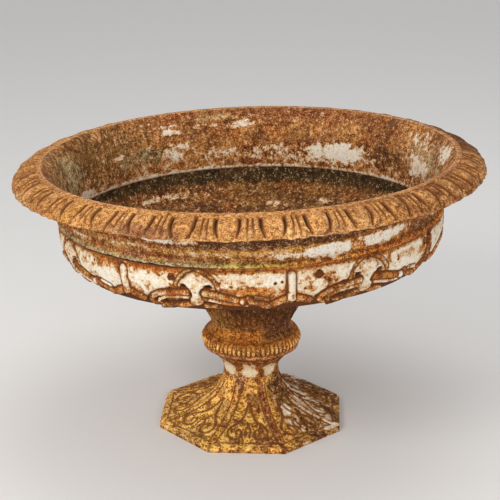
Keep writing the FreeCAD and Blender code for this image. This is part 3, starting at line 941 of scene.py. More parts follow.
# Each stroke has a half width, a height, how bare of paint it is, and its places.
STROKES = (
    (6.0, 7.0, 0.85, (12, 104), (22, 102), (38, 97)),
    (6.0, 7.0, 0.85, (-12, 105), (-22, 100), (-37, 92)),
    (5.8, 6.5, 0.95, (L + 15, 120), (L + 40, 114), (L + 62, 108), (L + 74, 103)),
    (3.0, 7.0, 0.10, (L + 4, 111), (L + 20, 109), (L + 50, 101), (L + 88, 97)),
    (6.0, 7.0, 0.85, (L + 90, 107), (L + 108, 99), (L + 124, 91)),
    (3.4, 5.0, 0.10, (L + 103, 111), (L + 123, 106)),
    (5.6, 9.5, 0.00, (L + 81, 105), (L + 81, 105.1)),
    (4.4, 7.5, 0.25, (R - 14, 120), (R - 34, 119), (R - 60, 116), (R - 84, 112), (R - 101, 104),
     (R - 106, 96), (R - 100, 90), (R - 92, 89)),
    (3.2, 6.5, 0.20, (R - 14, 111), (R - 40, 110), (R - 66, 108), (R - 84, 101), (R - 88, 96), (R - 83, 92)),
    (4.6, 6.0, 0.65, (R - 84, 85), (R - 60, 87), (R - 30, 91), (R - 6, 97)),
    (4.2, 5.0, 0.60, (L + 14, 92), (L + 40, 90)))
print(len(STROKES), "strokes in one period")


def along(line, x):
    """The level of a line at each place across."""
    return np.interp(x, [place[0] for place in line], [place[1] for place in line])


# %% Measure from the palmette and from the strap
STRAP_TOP = 149.5


def from_palmette(x, level):
    """How far each place is from the palmette's middle, inside its outline, and from its hood."""
    aside = np.abs(np.where(x > 0, x - HALF, x + HALF))
    leaf_in = (np.interp(level, LEAF_LEVELS, LEAF_WIDTHS) - aside) * 0.7
    return aside, leaf_in, to_line(aside, level, HOOD)


def from_strap(x, level):
    """How far each place is outside the strap's edge, its half width, and whether it is above its foot."""
    strap_half = 6.7 + 1.3 * smooth(126, 104, level)
    end = np.where(level > STRAP_TOP, np.hypot(x, level - STRAP_TOP), np.abs(x))
    return end - strap_half, strap_half, smooth(100, 103, level)


# %% Draw the panels, the strap and half of each palmette
PANEL_HEIGHT = 2.3
STRAP_HEIGHT = 6.0
STRAP_CUT = 2.2
LEAF_HEIGHT = 4.6
HOOD_HEIGHT = 3.8
HOOD_HALF = 3


def upper_relief(x, level):
    """Height, depth of cut and bareness above the panels' lower edges."""
    aside, leaf_in, hood = from_palmette(x, level)
    outside, strap_half, on_strap = from_strap(x, level)
    edge = along(PANEL_EDGE, x)

    in_panel = np.minimum.reduce(
        [np.abs(x) - 10, level - edge, 160 - level, np.where(leaf_in > -8, hood - HOOD_HALF, 99)])
    height = PANEL_HEIGHT * smooth(0, 4.5, in_panel) * ((leaf_in < 0) | (hood < HOOD_HALF))
    cavity = cut(in_panel, 1.9) * 0.36 * (level > edge)

    # The strap is cut free more deeply on its left.
    left = smooth(2, -2, x)
    side = cut(outside - 1.3 - left, 1.5 + left) * on_strap
    strap = bar(outside + strap_half, strap_half) * STRAP_HEIGHT * on_strap
    height = np.maximum(height, strap) - STRAP_CUT * side
    cavity = np.maximum(cavity, side * (0.55 + 0.2 * left))

    height = np.maximum(height, LEAF_HEIGHT * smooth(0, 5, leaf_in))
    height = np.where(hood < HOOD_HALF, np.maximum(height, HOOD_HEIGHT * bar(hood, HOOD_HALF)), height)
    leaf_line = cut(leaf_in + 1.0, 1.3) * 0.30 * (level > 117)
    cavity = np.maximum.reduce([cavity, leaf_line, cut(hood - 4.0, 1.6) * 0.55])
    under_hood = (level < along(HOOD, aside)) * smooth(42, 38, aside) * smooth(126, 130, level)
    bare = np.maximum(smooth(3.6, 1.8, hood) * 0.9, under_hood * smooth(0, -2, leaf_in) * 0.55)
    return height, cavity, bare


# %% Lay the strokes in the hollow below the panels
HOLLOW_DEPTH = 2.6


def lay_strokes(x, level, height, cavity, bare):
    """Sinks the hollow and lays the strokes over it, one after another, each with a groove along it."""
    hollow = smooth(1.0, -4, level - along(PANEL_EDGE, x))
    height = height * (1 - hollow) - HOLLOW_DEPTH * hollow
    cavity = np.maximum(cavity * (1 - hollow), hollow * 0.70)
    for half_width, tall, plain, *line in STROKES:
        away = to_line(x, level, line)
        cover = smooth(half_width + 0.4, half_width - 0.9, away)
        laid = np.maximum(height * (1 - cover), tall * bar(away, half_width + 0.5))
        height = np.where(cover > 0, laid, height)
        groove = cut(away - half_width - 1.0, 1.3) * 0.78
        cavity = np.maximum(cavity, groove) * (1 - cover)
        bare = bare * (1 - cover) + plain * cover
    return height, cavity, bare


# %% Lay the strap's foot, the palmette's neck and the eyes over the strokes
STRAP_SWELL = 2.5
NECK_HEIGHT = 3.6
NECK_SWELL = 2.0
EYE_DEPTH = 4.6
RAIL_LEVEL = 88
RAIL_HEIGHT = 1.4


def body_relief(x, level):
    """Height, depth of cut, bareness and how firmly paint has kept, over one period across from the strap."""
    height, cavity, bare = lay_strokes(x, level, *upper_relief(x, level))
    aside, leaf_in, hood = from_palmette(x, level)
    outside, strap_half, on_strap = from_strap(x, level)

    low = smooth(124, 118, level)
    on_foot = smooth(0.3, -0.8, outside) * on_strap * low
    strap_foot = STRAP_HEIGHT + STRAP_SWELL * smooth(116, 108, level)
    strap_foot = strap_foot * bar(outside + strap_half, strap_half + 0.6)
    height = height * (1 - on_foot) + strap_foot * on_foot
    bare = bare * (1 - on_foot)
    cavity = np.maximum(cavity * (1 - on_foot), cut(outside - 1.2, 1.4) * on_strap * low * 0.7)

    below = smooth(131, 127, level)
    neck = smooth(0, 2, leaf_in) * below
    height = height * (1 - neck) + (NECK_HEIGHT + NECK_SWELL * bar(leaf_in - 7, 7)) * neck
    bare = bare * (1 - neck) + 0.16 * neck * smooth(112, 104, level)
    cavity = np.maximum(cavity * (1 - neck), cut(leaf_in + 1.1, 1.3) * below * 0.6)

    # Two eyes are sunk in each palmette, and a low rail runs along the bottom.
    eyes = smooth(6.0, 3.2, np.hypot((aside - 23) / 1.5, level - 130.5))
    height = height * (1 - eyes) - EYE_DEPTH * eyes
    cavity = np.maximum(cavity * (1 - eyes), eyes)
    height = height + bar(level - RAIL_LEVEL, 3.0) * RAIL_HEIGHT * (1 - smooth(0.5, 4, height))

    halo = smooth(7, 1, outside) * on_strap * (level > along(PANEL_EDGE, x)) * (outside > 0)
    bare = np.maximum(bare, halo * 0.4)
    kept_strap = smooth(0.4, -0.8, outside) * smooth(99, 102, level)
    kept_leaf = smooth(-0.5, 1.5, leaf_in) * (1 - eyes) * smooth(0.4, 0.2, bare)
    return height, np.clip(cavity, 0, 1), np.clip(bare, 0, 1), np.maximum(kept_strap, kept_leaf)


# %% Make the even ring of the body
def body_sector():
    angles = sector_angles(BODY_COUNT, BODY_COLUMNS)
    across, level = np.meshgrid(angles * BOWL_RADIUS, band_section[:, 1])
    height, cavity, bare, kept = body_relief(across, level)
    rows = np.arange(len(band_section))[:, None]
    front = rows < BAND_FRONT
    fade = np.minimum(smooth(0, 3, rows), smooth(0, 2.5, BAND_FRONT - 1 - rows))
    fields = {"cavity": cavity * front, "bare": bare * front, "kept": kept * front}
    fields.update({"across": across, "level": level})
    return grid_mesh("body_sector", turned_places(band_section, angles, height * front * fade), fields)


band_mesh = ring_mesh(body_sector(), BODY_COUNT, MOTIF_START, BODY_IRON, seam=0.08)

# %% Turn the straps and palmettes to where they stand on this urn
MOTIF_ANGLES = (11.0, 33.1, 61.5, 88.5, 116.5, 142.0, 167.5, 193.0, 218.5, 244.5, 271.5, 296.0, 323.2, 344.8)
even_angles = np.linspace(MOTIF_START, MOTIF_START + 360, len(MOTIF_ANGLES) + 1)
true_angles = (*MOTIF_ANGLES, MOTIF_START + 360)


def turn_motifs(mesh):
    angle, radius, level = polar(read_places(mesh))
    even = (angle - MOTIF_START) % 360 + MOTIF_START
    moved = np.radians(np.interp(even, even_angles, true_angles))
    write_places(mesh, np.stack([radius * np.sin(moved), -radius * np.cos(moved), level], 1))


turn_motifs(band_mesh)
print("straps at", MOTIF_ANGLES[::2])

# %% Rust pits round the joint pins, and patches worn off the paint
MAROON = shade(112, 56, 26)
AMBER = shade(214, 150, 66)
PIN_COUNT = 9
PIN_FIRST = 18.4
PIN_LEVEL = 146
PIT_DEPTH = 2.4

# Each small pit is an angle, a level and a radius.
SMALL_PITS = (
    (6.4, 136, 2.4), (8.2, 138, 2.0), (21.4, 132, 2.6), (-48.5, 148, 2.2), (44.6, 137, 2.2), (-2.5, 128, 1.4),
    (14.5, 121, 1.6), (100, 140, 2.4), (171, 133, 2.2), (-120, 138, 2.4))
WORN_PATCHES = (  # Angle, level, half width, half height and strength of each
    (2, 117, 9, 12, 0.6), (-1, 124, 7, 8, 0.35), (5, 127, 5, 6, 0.3), (58, 128, 4, 26, 0.5),
    (-19, 126, 3, 4, 0.5), (-42, 150, 7, 11, 0.66), (-25, 155, 12, 8, 0.4), (15, 118, 3, 8, 0.35),
    (22, 136, 3, 9, 0.3), (100, 120, 12, 14, 0.5), (160, 130, 16, 14, 0.4), (-110, 120, 12, 16, 0.5))


def rust_pits(places, small):
    """How far each place is inside a pit, for the worn rings round the pins and for the small pits."""
    angle, radius, height = polar(places)
    ragged = 2.2 * small + 2.0 * cloud(places, 4, 59, 2)
    pit = np.zeros(len(places))
    for centre in PIN_FIRST + 360 / PIN_COUNT * np.arange(PIN_COUNT):
        away = np.radians((angle - centre + 180) % 360 - 180) * BOWL_RADIUS
        pit = np.maximum(pit, smooth(8.8, 6.2, np.hypot(away * 1.1, height - PIN_LEVEL) + ragged))
    for centre, level, size in SMALL_PITS:
        away = np.radians((angle - centre + 180) % 360 - 180) * BOWL_RADIUS
        pit = np.maximum(pit, smooth(size + 1.4, size - 0.8, np.hypot(away, height - level) + 0.5 * small))
    return pit


# %% Weather the body and tone its iron and paint
def weather_body(mesh):
    places = read_places(mesh)
    angle, radius, height = polar(places)
    cavity, bare, kept, across, level = (
        read_field(mesh, field) for field in ("cavity", "bare", "kept", "across", "level"))
    facing = np.einsum("ij,ij->i", normals_of(mesh), places) / np.linalg.norm(places, axis=1)
    small = cloud(places, 11, 51)
    broad = cloud(places, 50, 52)
    pit = rust_pits(places, small)
    lift = cloud(places, 8, 53, 3) * (0.3 + 0.9 * bare) - PIT_DEPTH * pit * (1 - kept) * (0.8 + 0.8 * small)
    swell(mesh, lift * smooth(0.0, 0.2, facing))

    patch = partial(spot, angle, height)
    pit = pit * (1 - 0.9 * kept)
    edge = along(PANEL_EDGE, across)
    on_strap = smooth(9, 7, np.abs(across))
    right_strap = on_strap * patch((61.5, 130), (5, 60), 0.1 * small)
    far_right = patch((90, 140), (5, 50), 0.1 * small)
    amber = patch((51, 141), (7, 9), 0.6 * small + 0.4 * broad)
    tone = tones(
        BROWN,
        (ORANGE, smooth(-0.5, 0.4, small + 0.5 * broad) * 0.85),
        (DARK_BROWN, bare * smooth(0.1, 0.6, cloud(places, 14, 54)) * 0.55),
        (CREAM, bare * smooth(0.1, 0.5, cloud(places, 10, 58)) * 0.6),
        (OCHRE, smooth(0.2, 0.7, cloud(places, 30, 55)) * 0.5),
        (DARK_BROWN, pit * 0.9),
        (MAROON, right_strap * 0.8),
        (MAROON, far_right * 0.9),
        (AMBER, amber * 0.9),
        # Darker towards the bottom of the band: part soot, part painted shadow under the bowl.
        (DEEP, smooth(93, 84, level) * 0.75))

    near_top = smooth(150, 161, level + 4 * small + 3 * broad) * (1 - on_strap * smooth(154, 150, level))
    near_edge = smooth(15, 0, level - edge + 6 * small) * (1 - on_strap)
    both_sides = smooth(14, 26, np.abs(angle)) * smooth(90, 70, np.abs(angle))
    paint = (0.94 + 0.3 * broad + 0.25 * small + 0.16 * both_sides
             - 0.78 * near_top
             - 0.42 * near_edge * (0.3 + 0.7 * smooth(0.0, 0.3, cavity + bare))
             - bare * (0.36 + 0.46 * smooth(-0.4, 0.4, cloud(places, 14, 56)))
             - 0.5 * smooth(0.1, 0.6, cloud(places, 20, 57))
             - 0.4 * smooth(0.15, 0.5, cloud(places, 6, 50, 2))
             - patches(angle, height, WORN_PATCHES, 0.5 * small, np.add))
    paint = np.where(level < 96, np.minimum(paint, 0.36 + 0.3 * small), paint)
    stained = (0.42 * smooth(122, 98, level) + 0.42 * smooth(0.0, 0.5, cloud(places, 9, 60))
               + 0.2 * smooth(148, 158, level))
    paint = paint * (1 - kept) + kept * (1.02 + 0.26 * broad - stained)
    paint = (paint - right_strap * 0.6 - far_right * 0.9 - amber * 0.42) * (1 - pit)

    crack = smooth(160.5, 163.5, level + 1.5 * small) * patch((-36, 165), (26, 60), 0.4 * small)
    cavity = np.maximum.reduce([cavity, pit * (0.75 + 0.5 * small), crack * 0.9])
    write_look(mesh, tone, np.clip(paint, 0, 1.2), cavity)


weather_body(band_mesh)
place_piece("bowl_strapwork", band_mesh, LEAN, "bowl_painted_iron", BODY_IRON)

# %% [markdown]
# ## The floor and the underside of the bowl
# Behind the ornament the casting is one thick dish, from the hole for the tie rod out to the socket that
# holds the upper casting. It is swung round from one section, like the wall. Damp sits inside it, so moss
# has grown on the wall under the ledge, and the floor is brown with flakes of paint.

# %% Make the dish
SOCKET_RADIUS = BOWL_RADIUS - 6.7
SOCKET_LEVEL = BODY_TOP - 18.3
SOCKET_TOP = BODY_TOP - 0.8
HOLE_RADIUS = 16
FLOOR_LEVEL = 10
DISH_COLUMNS = 540

dish_section = section(
    (HOLE_RADIUS, 0),
    ((SEAT_RADIUS, 0), 3),
    (UNDER_EDGE, 34, (0.43, 0.36)),
    *curve((BOWL_RADIUS - 29, 82), (BOWL_RADIUS - 12, 112), 6, [(0.5, 0.15)]),
    (BOWL_RADIUS - 5.4, 134),
    (BOWL_RADIUS - 5.4, SOCKET_TOP),
    (SOCKET_RADIUS, SOCKET_TOP),
    (SOCKET_RADIUS, SOCKET_LEVEL),
    (BOWL_RADIUS - 11, SOCKET_LEVEL),
    ((BOWL_RADIUS - 11, 134), 3),
    ((BOWL_RADIUS - 32, 98), 12, (0.3, 0.5)),
    ((BOWL_RADIUS - 52, 84), 6, (0.4, 0.7)),
    ((SEAT_RADIUS, FLOOR_LEVEL), 30, (0.43, 0.64)),
    ((HOLE_RADIUS, FLOOR_LEVEL), 8))
dish_mesh = turned_mesh("bowl_dish", dish_section, DISH_COLUMNS)

# %% Tone the floor, the moss and the underside
FLOOR_BROWN = shade(128, 84, 42)
FLOOR_DARK = shade(70, 38, 14)
FLOOR_LIGHT = shade(172, 118, 58)
FLOOR_SHADE = 0.8
FLOOR_FLAKES = (  # Angle, level, half width, half height and strength of each
    (-143, 103, 5, 7, 0.62), (-152, 100, 5, 6, 0.62), (150, 86, 2.5, 4, 0.62), (171, 78, 4, 4, 0.62),
    (10, 60, 9, 8, 0.62))


def tone_dish(mesh):
    places = read_places(mesh)
    angle, radius, level = polar(places)
    normals = normals_of(mesh)
    inwards = np.einsum("ij,ij->i", normals[:, :2], places[:, :2]) < 0
    inside = ((normals[:, 2] > 0.02) | inwards) & (level > FLOOR_LEVEL - 1)
    small = cloud(places, 16, 61)
    broad = cloud(places, 70, 62)
    mottle = 0.7 * cloud(places, 26, 60, 5) + 0.5 * broad

    # Moss grows from the ledge down, and further down at the back of the bowl.
    back = smooth(80, 170, np.abs((angle + 8 + 180) % 360 - 180))
    above_foot = level - (133 - 15 * back + 4 * small + 3 * broad)
    moss = smooth(-6, 5, above_foot + 7 * cloud(places, 6, 68, 3)) * smooth(149, 146, level + 2 * small)
    floor = tones(
        FLOOR_BROWN,
        (ORANGE, smooth(-0.2, 0.6, broad) * 0.3),
        (FLOOR_DARK, smooth(0.0, 0.5, mottle) * 0.65),
        (FLOOR_LIGHT, smooth(0.0, -0.5, mottle) * 0.5),
        (MOSS, smooth(-12, 0, above_foot) * smooth(-0.3, 0.5, small) * 0.6),
        (MOSS, moss),
        (MOSS_GREEN, moss * smooth(0.1, 0.6, cloud(places, 9, 63)) * 0.7))
    under = tones(
        DARK_BROWN,
        (BROWN, smooth(-0.4, 0.5, broad + small) * 0.8),
        (ORANGE, smooth(0.2, 0.8, cloud(places, 34, 64)) * 0.35),
        # Darker towards the outer edge of the underside: part soot, part painted shadow.
        (DEEP, smooth(260, 320, radius) * 0.6))

    specks = smooth(0.3, 0.6, cloud(places, 7, 65, 3)) * smooth(-0.3, 0.3, cloud(places, 50, 59)) * (1 - moss)
    thin_paint = 0.04 + 0.36 * specks + 0.16 * smooth(0.25, 0.7, cloud(places, 30, 66))
    flakes = patches(angle, level, FLOOR_FLAKES, 0.6 * small + 0.5 * cloud(places, 6, 69, 3))
    under_paint = smooth(0.25, 0.75, cloud(places, 38, 67)) * 0.42
    paint = np.where(inside, np.maximum(thin_paint * (1 - moss), flakes), under_paint)
    write_look(mesh, np.where(inside[:, None], floor * FLOOR_SHADE, under), paint, np.zeros(len(places)))


tone_dish(dish_mesh)
place_piece("bowl_dish", dish_mesh, LEAN, "bowl_painted_iron", WALL_IRON, "bowl_body")

# %% [markdown]
# ## The stem
# The stem is a turned core with five tongues to a quarter on the flaring calyx, sixteen flutes to a quarter
# on the knop's lower band, and two flat sides to a quarter on the neck, whose plan passes from round to
# eight-sided. A quarter is the largest part that repeats in all three, so it is the sector. The flats are
# made last, by drawing the places in towards the axis as far as an eight-sided outline.

# %% Section of the stem
STEM_COUNT = 4
STEM_COLUMNS = 136
FLAT_HALF = 53.5
EIGHT_SIDED_BELOW = 9.9
ROUND_ABOVE = 35.2
CORE_RADIUS = 11

stem_section = section(
    (58.9, 0),
    ((84, 51), 26, (0, 0.30), (0.24, 0.62)),
    ((94.5, 54), 4),
    ((94.5, 60), 4),
    (92, 60.6),
    ((KNOP_RADIUS, 67.5), 6, (1, 0)),
    ((92, 84), 13, (0, 0.6)),
    ((79.5, 103), 12, (0.6, 0.2), (1, 0.6)),
    ((97, 148), 34, (0, 0.42), (0.78, 0.62)),
    ((97, STEM_HEIGHT), 12))
STEM_FRONT = len(stem_section)
stem_section = section(
    *stem_section, (70, STEM_HEIGHT), (CORE_RADIUS, STEM_HEIGHT), (CORE_RADIUS, 0), (40, 0))

# %% Draw the tongues, flutes and flats of one quarter
TONGUES = 5
FLUTES = 16
TONGUE_SHIFT = 0.34
TONGUE_PERIOD = 27.6
TONGUE_TIP = 124
TONGUE_HEIGHT = 2.0
TONGUE_RIB = 2.2
TONGUE_CUT = 2.6
BEAD_HEIGHT = 1.8
BEAD_LEVEL = 71


def stem_relief(turns, level):
    """Height, depth of cut and height of the beads over one quarter. Turns runs from -0.5 to 0.5."""
    wide = np.abs((turns * TONGUES + 0.5 - TONGUE_SHIFT) % 1 - 0.5) * TONGUE_PERIOD
    reach = np.where(level < TONGUE_TIP, np.hypot(wide, np.maximum(TONGUE_TIP - level, 0) * 1.2), wide)
    on_calyx = smooth(103, 107, level)
    line = cut(reach - 6.0, 2.0) * on_calyx
    rib = bar(reach - 9.8, 2.6) * on_calyx
    inner = bar(reach, 4.8) * on_calyx
    tongues = (TONGUE_HEIGHT * inner + TONGUE_RIB * rib - TONGUE_CUT * line) * smooth(168, 160, level)

    on_band = smooth(61, 64, level) * smooth(85, 79, level)
    ridge = np.cos((turns * FLUTES + 0.5) % 1 * 2 * math.pi - math.pi) * 0.5 + 0.5
    valley = (1 - ridge) ** 2 * on_band
    bead = ridge * cut(level - BEAD_LEVEL, 5.5) * on_band
    cavity = (0.6 * line + 0.2 * cut(reach - 13.0, 1.0) * on_calyx
              + valley * (0.5 + 0.5 * smooth(75, 63, level))
              + 0.35 * cut(level - 86, 1.2) + 0.9 * cut(level - 61.2, 1.0) + 0.25 * cut(level - 52.5, 1.2))
    return tongues + BEAD_HEIGHT * (bead - valley), np.clip(cavity, 0, 1), bead


def stem_sector():
    angles = sector_angles(STEM_COUNT, STEM_COLUMNS)
    turns, level = np.meshgrid(angles * STEM_COUNT / (2 * math.pi), stem_section[:, 1])
    height, cavity, bead = stem_relief(turns, level)
    rows = np.arange(len(stem_section))[:, None]
    front = rows < STEM_FRONT
    fade = front * smooth(0, 2, STEM_FRONT - 1 - rows)
    places = turned_places(stem_section, angles, height * fade)
    from_flat = (angles + math.pi / 8) % (math.pi / 4) - math.pi / 8
    flatten = np.minimum(FLAT_HALF / np.cos(from_flat) / stem_section[:, :1], 1)
    share = smooth(ROUND_ABOVE, EIGHT_SIDED_BELOW, level) * front
    places[..., :2] *= (1 + (flatten - 1) * share)[..., None]
    return grid_mesh("stem_sector", places, {"cavity": cavity * front, "bead": bead * front})


stem_mesh = ring_mesh(stem_sector(), STEM_COUNT, 0, STEM_IRON)

# %% Weather the stem and tone its iron
STEM_ORANGE = shade(192, 114, 40)
CALYX_BROWN = shade(112, 66, 24)
CALYX_LIT_TAN = shade(188, 136, 70)
KNOP_SHADOW = shade(84, 40, 8)
BAND_PEACH = shade(250, 184, 100)
BEAD_CREAM = shade(252, 214, 150)
COVE_SHADE_BROWN = shade(134, 78, 30)
NECK_PAINT = (  # Angle, level, half width, half height and strength of each
    (-50, 13, 16, 21, 0.95), (-3, 13, 15, 20, 0.95), (40, 11, 14, 18, 0.9), (82, 16, 14, 12, 0.9),
    (128, 18, 18, 13, 0.9), (172, 15, 15, 14, 0.9), (-140, 17, 18, 13, 0.9), (-94, 14, 14, 12, 0.9))
STEM_SWELL = 0.4


def weather_stem(mesh):
    places = read_places(mesh)
    angle, radius, level = polar(places)
    angle = angle - math.degrees(LEAN_HEADING)
    small = cloud(places, 10, 71)
    broad = cloud(places, 40, 72)
    swell(mesh, cloud(places, 8, 73, 3) * STEM_SWELL * (radius > 50))

    calyx = smooth(100, 112, level)
    bead = read_field(mesh, "bead")
    on_band = smooth(62, 66, level) * smooth(82, 74, level)
    tone = tones(
        STEM_ORANGE,
        (OCHRE, smooth(-0.3, 0.6, broad + 0.4 * small) * 0.5),
        (ORANGE, smooth(-0.2, 0.6, small) * 0.5),
        (CALYX_BROWN, calyx * 0.85),
        # Painted shadow: the top of the calyx darkens where it runs in under the bowl.
        (DEEP, smooth(128, 160, level) * 0.75),
        # Painted light: the calyx is lightened on its left side, as if lit from there.
        (CALYX_LIT_TAN, calyx * smooth(-16, -44, angle) * smooth(-120, -80, angle) * 0.6),
        (KNOP_SHADOW, smooth(80, 94, level) * smooth(8, 26, angle) * smooth(90, 64, angle) * 0.9),
        (BAND_PEACH, on_band * (0.9 - 0.4 * smooth(10, 50, angle))),
        (BEAD_CREAM, bead * smooth(0.45, 0.9, bead + 0.3 * small) * 0.9),
        (ROSE_TAN, smooth(53, 54.5, level) * smooth(61, 59.8, level) * 0.75),
        # Painted shade: the neck and a band round it darken into the shaded cove under the fillet ring.
        (COVE_SHADE_BROWN, smooth(52, 40, level) * 0.75),
        (DARK_BROWN, cut(level - 47, 6) * 0.75),
        (MOSS_GREEN, smooth(0.3, 0.8, broad) * smooth(90, 112, level) * 0.4))
    paint = patches(angle, level, NECK_PAINT, 0.35 * small + 0.3 * cloud(places, 5, 75, 2))
    band_paint = smooth(0.35, 0.8, cloud(places, 15, 74)) * smooth(62, 66, level) * smooth(80, 76, level)
    write_look(mesh, tone, np.maximum(paint, band_paint * 0.5), read_field(mesh, "cavity"))


weather_stem(stem_mesh)
stem_place = Matrix.Translation((0, 0, STEM_BASE * MM))
place_piece("stem_turned", stem_mesh, stem_place, "stem_iron", STEM_IRON, "stem")

# %% [markdown]
# ## The foot
# The foot is an eight-sided trumpet. Each side is a panel that sweeps out and down, with a rounded rib at
# each corner, a sunk line along its border and a pair of scrolls in shallow relief. It is cast hollow. A
# turned section would make it round, so one side is drawn in its own flat measures, how far across and how
# far down the slope, and set round eight times.

# %% Section of one side of the foot
FOOT_SIDES = 8
FOOT_COLUMNS = 84
FOOT_WALL = 9
DECK_HALF = 53.5
DECK_UNDER = FOOT_HEIGHT - 14
ROD_RADIUS = 10.4
PLINTH = 10
DECK_ROWS = 4
SLOPE_ROWS = 66

foot_section = section(
    (ROD_RADIUS, FOOT_HEIGHT),
    ((DECK_HALF, FOOT_HEIGHT), DECK_ROWS),
    ((FOOT_HALF, PLINTH), SLOPE_ROWS, (0.02, 0.725)),
    ((FOOT_HALF, 0), 5))
FOOT_FRONT = len(foot_section)
foot_section = section(
    *foot_section,
    (FOOT_HALF - FOOT_WALL, 0),
    *curve((FOOT_HALF - FOOT_WALL, PLINTH * 0.9), (44.5, DECK_UNDER), 16, [(0.98, 0.275)]),
    (ROD_RADIUS, DECK_UNDER))

# %% Draw the scrolls and the border of one side
# The lines of one scroll are places away from the middle of the side and down the slope.
SLOPE_LENGTH = 148
S_SCROLL = ((0.5, 56), (4, 68), (7, 80), (12, 92), (22, 100), (33, 107), (39, 115), (38, 124), (30, 130),
            (19, 130), (12, 124), (12, 116), (18, 111), (24, 115), (22, 120))
HOOK = ((3, 124), (6, 116), (4, 109), (0, 106))
OUTER_LEAF = ((14, 40), (18, 56), (24, 72), (33, 84), (44, 94))
RIB_HEIGHT = 3.8
SCROLL_HEIGHT = 2.0
SCROLL_CUT = 2.4
BORDER_CUT = 1.6
BOTTOM_CUT = 1.3


def foot_relief(offset, share, half_width):
    """Height, depth of cut and the rib. Share runs down the slope from 0 to 1."""
    side = np.abs(offset)
    down = share * SLOPE_LENGTH
    from_rib = half_width - side
    rib = bar(from_rib, 5.5) * smooth(0.02, 0.08, share)
    border = cut(from_rib - 7.6, 2.0) * smooth(8, 22, down) * smooth(141, 132, down)
    bottom_line = cut(down - 137, 1.6) * (from_rib > 6)
    to_scroll = to_line(side, down, S_SCROLL)
    groove = cut(np.minimum(to_scroll, to_line(side, down, HOOK)), 2.4) * smooth(4, 7, from_rib)
    raised = np.maximum(bar(to_scroll - 6.2, 3.0), bar(to_line(side, down, OUTER_LEAF), 2.6))
    raised = raised * smooth(6, 9, from_rib)
    height = (RIB_HEIGHT * rib + SCROLL_HEIGHT * raised - SCROLL_CUT * groove
              - BORDER_CUT * border - BOTTOM_CUT * bottom_line)
    return height, np.clip(groove * 0.72 + border * 0.7 + bottom_line * 0.5, 0, 1), rib


def foot_sector():
    """One side. Its rows are straight across, so the side is flat from corner to corner."""
    rows = np.arange(len(foot_section))[:, None]
    share = np.clip((rows - DECK_ROWS - 1) / SLOPE_ROWS, 0, 1)
    angles = sector_angles(FOOT_SIDES, FOOT_COLUMNS)
    depth, level = foot_section[:, :1], foot_section[:, 1:]
    half = depth * math.tan(math.pi / FOOT_SIDES)
    offset = half * np.linspace(-1, 1, FOOT_COLUMNS + 1)
    height, cavity, rib = foot_relief(offset, share, half)
    front = (rows > DECK_ROWS) & (rows < FOOT_FRONT)
    fade = front * smooth(0, 2, np.minimum(rows - DECK_ROWS - 1, FOOT_FRONT - 1 - rows))
    normal = outward(foot_section)
    pushed = depth + normal[:, :1] * height * fade
    round_hole = depth < CORE_RADIUS
    x = np.where(round_hole, ROD_RADIUS * np.sin(angles), offset * pushed / depth)
    y = np.where(round_hole, -ROD_RADIUS * np.cos(angles), -pushed)
    z = level + normal[:, 1:] * height * fade
    fields = {"cavity": cavity * front, "share": share + 0 * offset, "rib": rib * front}
    return grid_mesh("foot_sector", np.stack([x, y, z], -1), fields)


foot_mesh = ring_mesh(foot_sector(), FOOT_SIDES, 0, FOOT_IRON)

# %% Weather the foot and tone its iron
FOOT_GOLD = shade(250, 186, 94)
FOOT_STRAW = shade(236, 192, 100)
FOOT_PEACH = shade(250, 200, 118)
FOOT_PINK = shade(188, 132, 104)
FOOT_DARK = shade(80, 42, 14)
RIB_ROSE = shade(150, 84, 56)
FOOT_SWELL = 0.45


def weather_foot(mesh):
    places = read_places(mesh)
    angle, radius, level = polar(places)
    rib, share = read_field(mesh, "rib"), read_field(mesh, "share")
    small = cloud(places, 12, 81)
    broad = cloud(places, 55, 82)
    blotch = cloud(places, 16, 84)
    swell(mesh, cloud(places, 9, 83, 3) * FOOT_SWELL * smooth(0.01, 0.06, share) * smooth(0.4, 2.5, level))
    moved = read_places(mesh)
    moved[:, 2] = np.clip(moved[:, 2], 0, FOOT_HEIGHT)
    write_places(mesh, moved)

    patch = partial(spot, angle, level)
    right = smooth(24, 48, angle) * smooth(175, 150, angle)
    left = smooth(-24, -44, angle) * smooth(-140, -100, angle)
    tone = tones(
        FOOT_GOLD,
        (ORANGE, smooth(-0.2, 0.6, small) * 0.4),
        (OCHRE, smooth(0.0, 0.6, broad) * 0.5),
        (LICHEN, patch((-30, 30), (50, 26), 0.5 * small + 0.3 * broad) * 0.36),
        (BROWN, smooth(0.0, 0.5, blotch) * 0.85),
        (FOOT_STRAW, smooth(0.0, -0.5, blotch) * 0.6),
        (RIB_ROSE, smooth(0.1, 0.6, rib) * (0.3 + 0.6 * smooth(-12, 12, angle))),
        (FOOT_PEACH, left * (0.5 + 0.4 * small)),
        (FOOT_PINK, patch((-20, 96), (12, 22), 0.6 * small) * 0.8),
        (FOOT_DARK, right * (0.7 + 0.6 * small)),
        (DEEP, patch((72, 62), (34, 26), 0.6 * small) * 0.5),
        (DARK_BROWN, smooth(26, 8, level) * smooth(0.0, 0.6, broad + small) * 0.35),
        (BROWN, smooth(7, 2, level) * 0.6))
    right_paint = smooth(-0.2, 0.5, cloud(places, 22, 85) + 0.5 * small) * right
    paint = np.maximum.reduce([
        right_paint * (0.25 + 0.75 * smooth(72, 48, level)),
        patch((75, 30), (14, 16), 0.6 * small) * 0.7,
        smooth(0.1, 0.7, cloud(places, 20, 86)) * 0.36])
    write_look(mesh, tone, paint, read_field(mesh, "cavity"))


weather_foot(foot_mesh)
place_piece("foot_panelled", foot_mesh, Matrix.Identity(4), "foot_iron", FOOT_IRON, "foot")

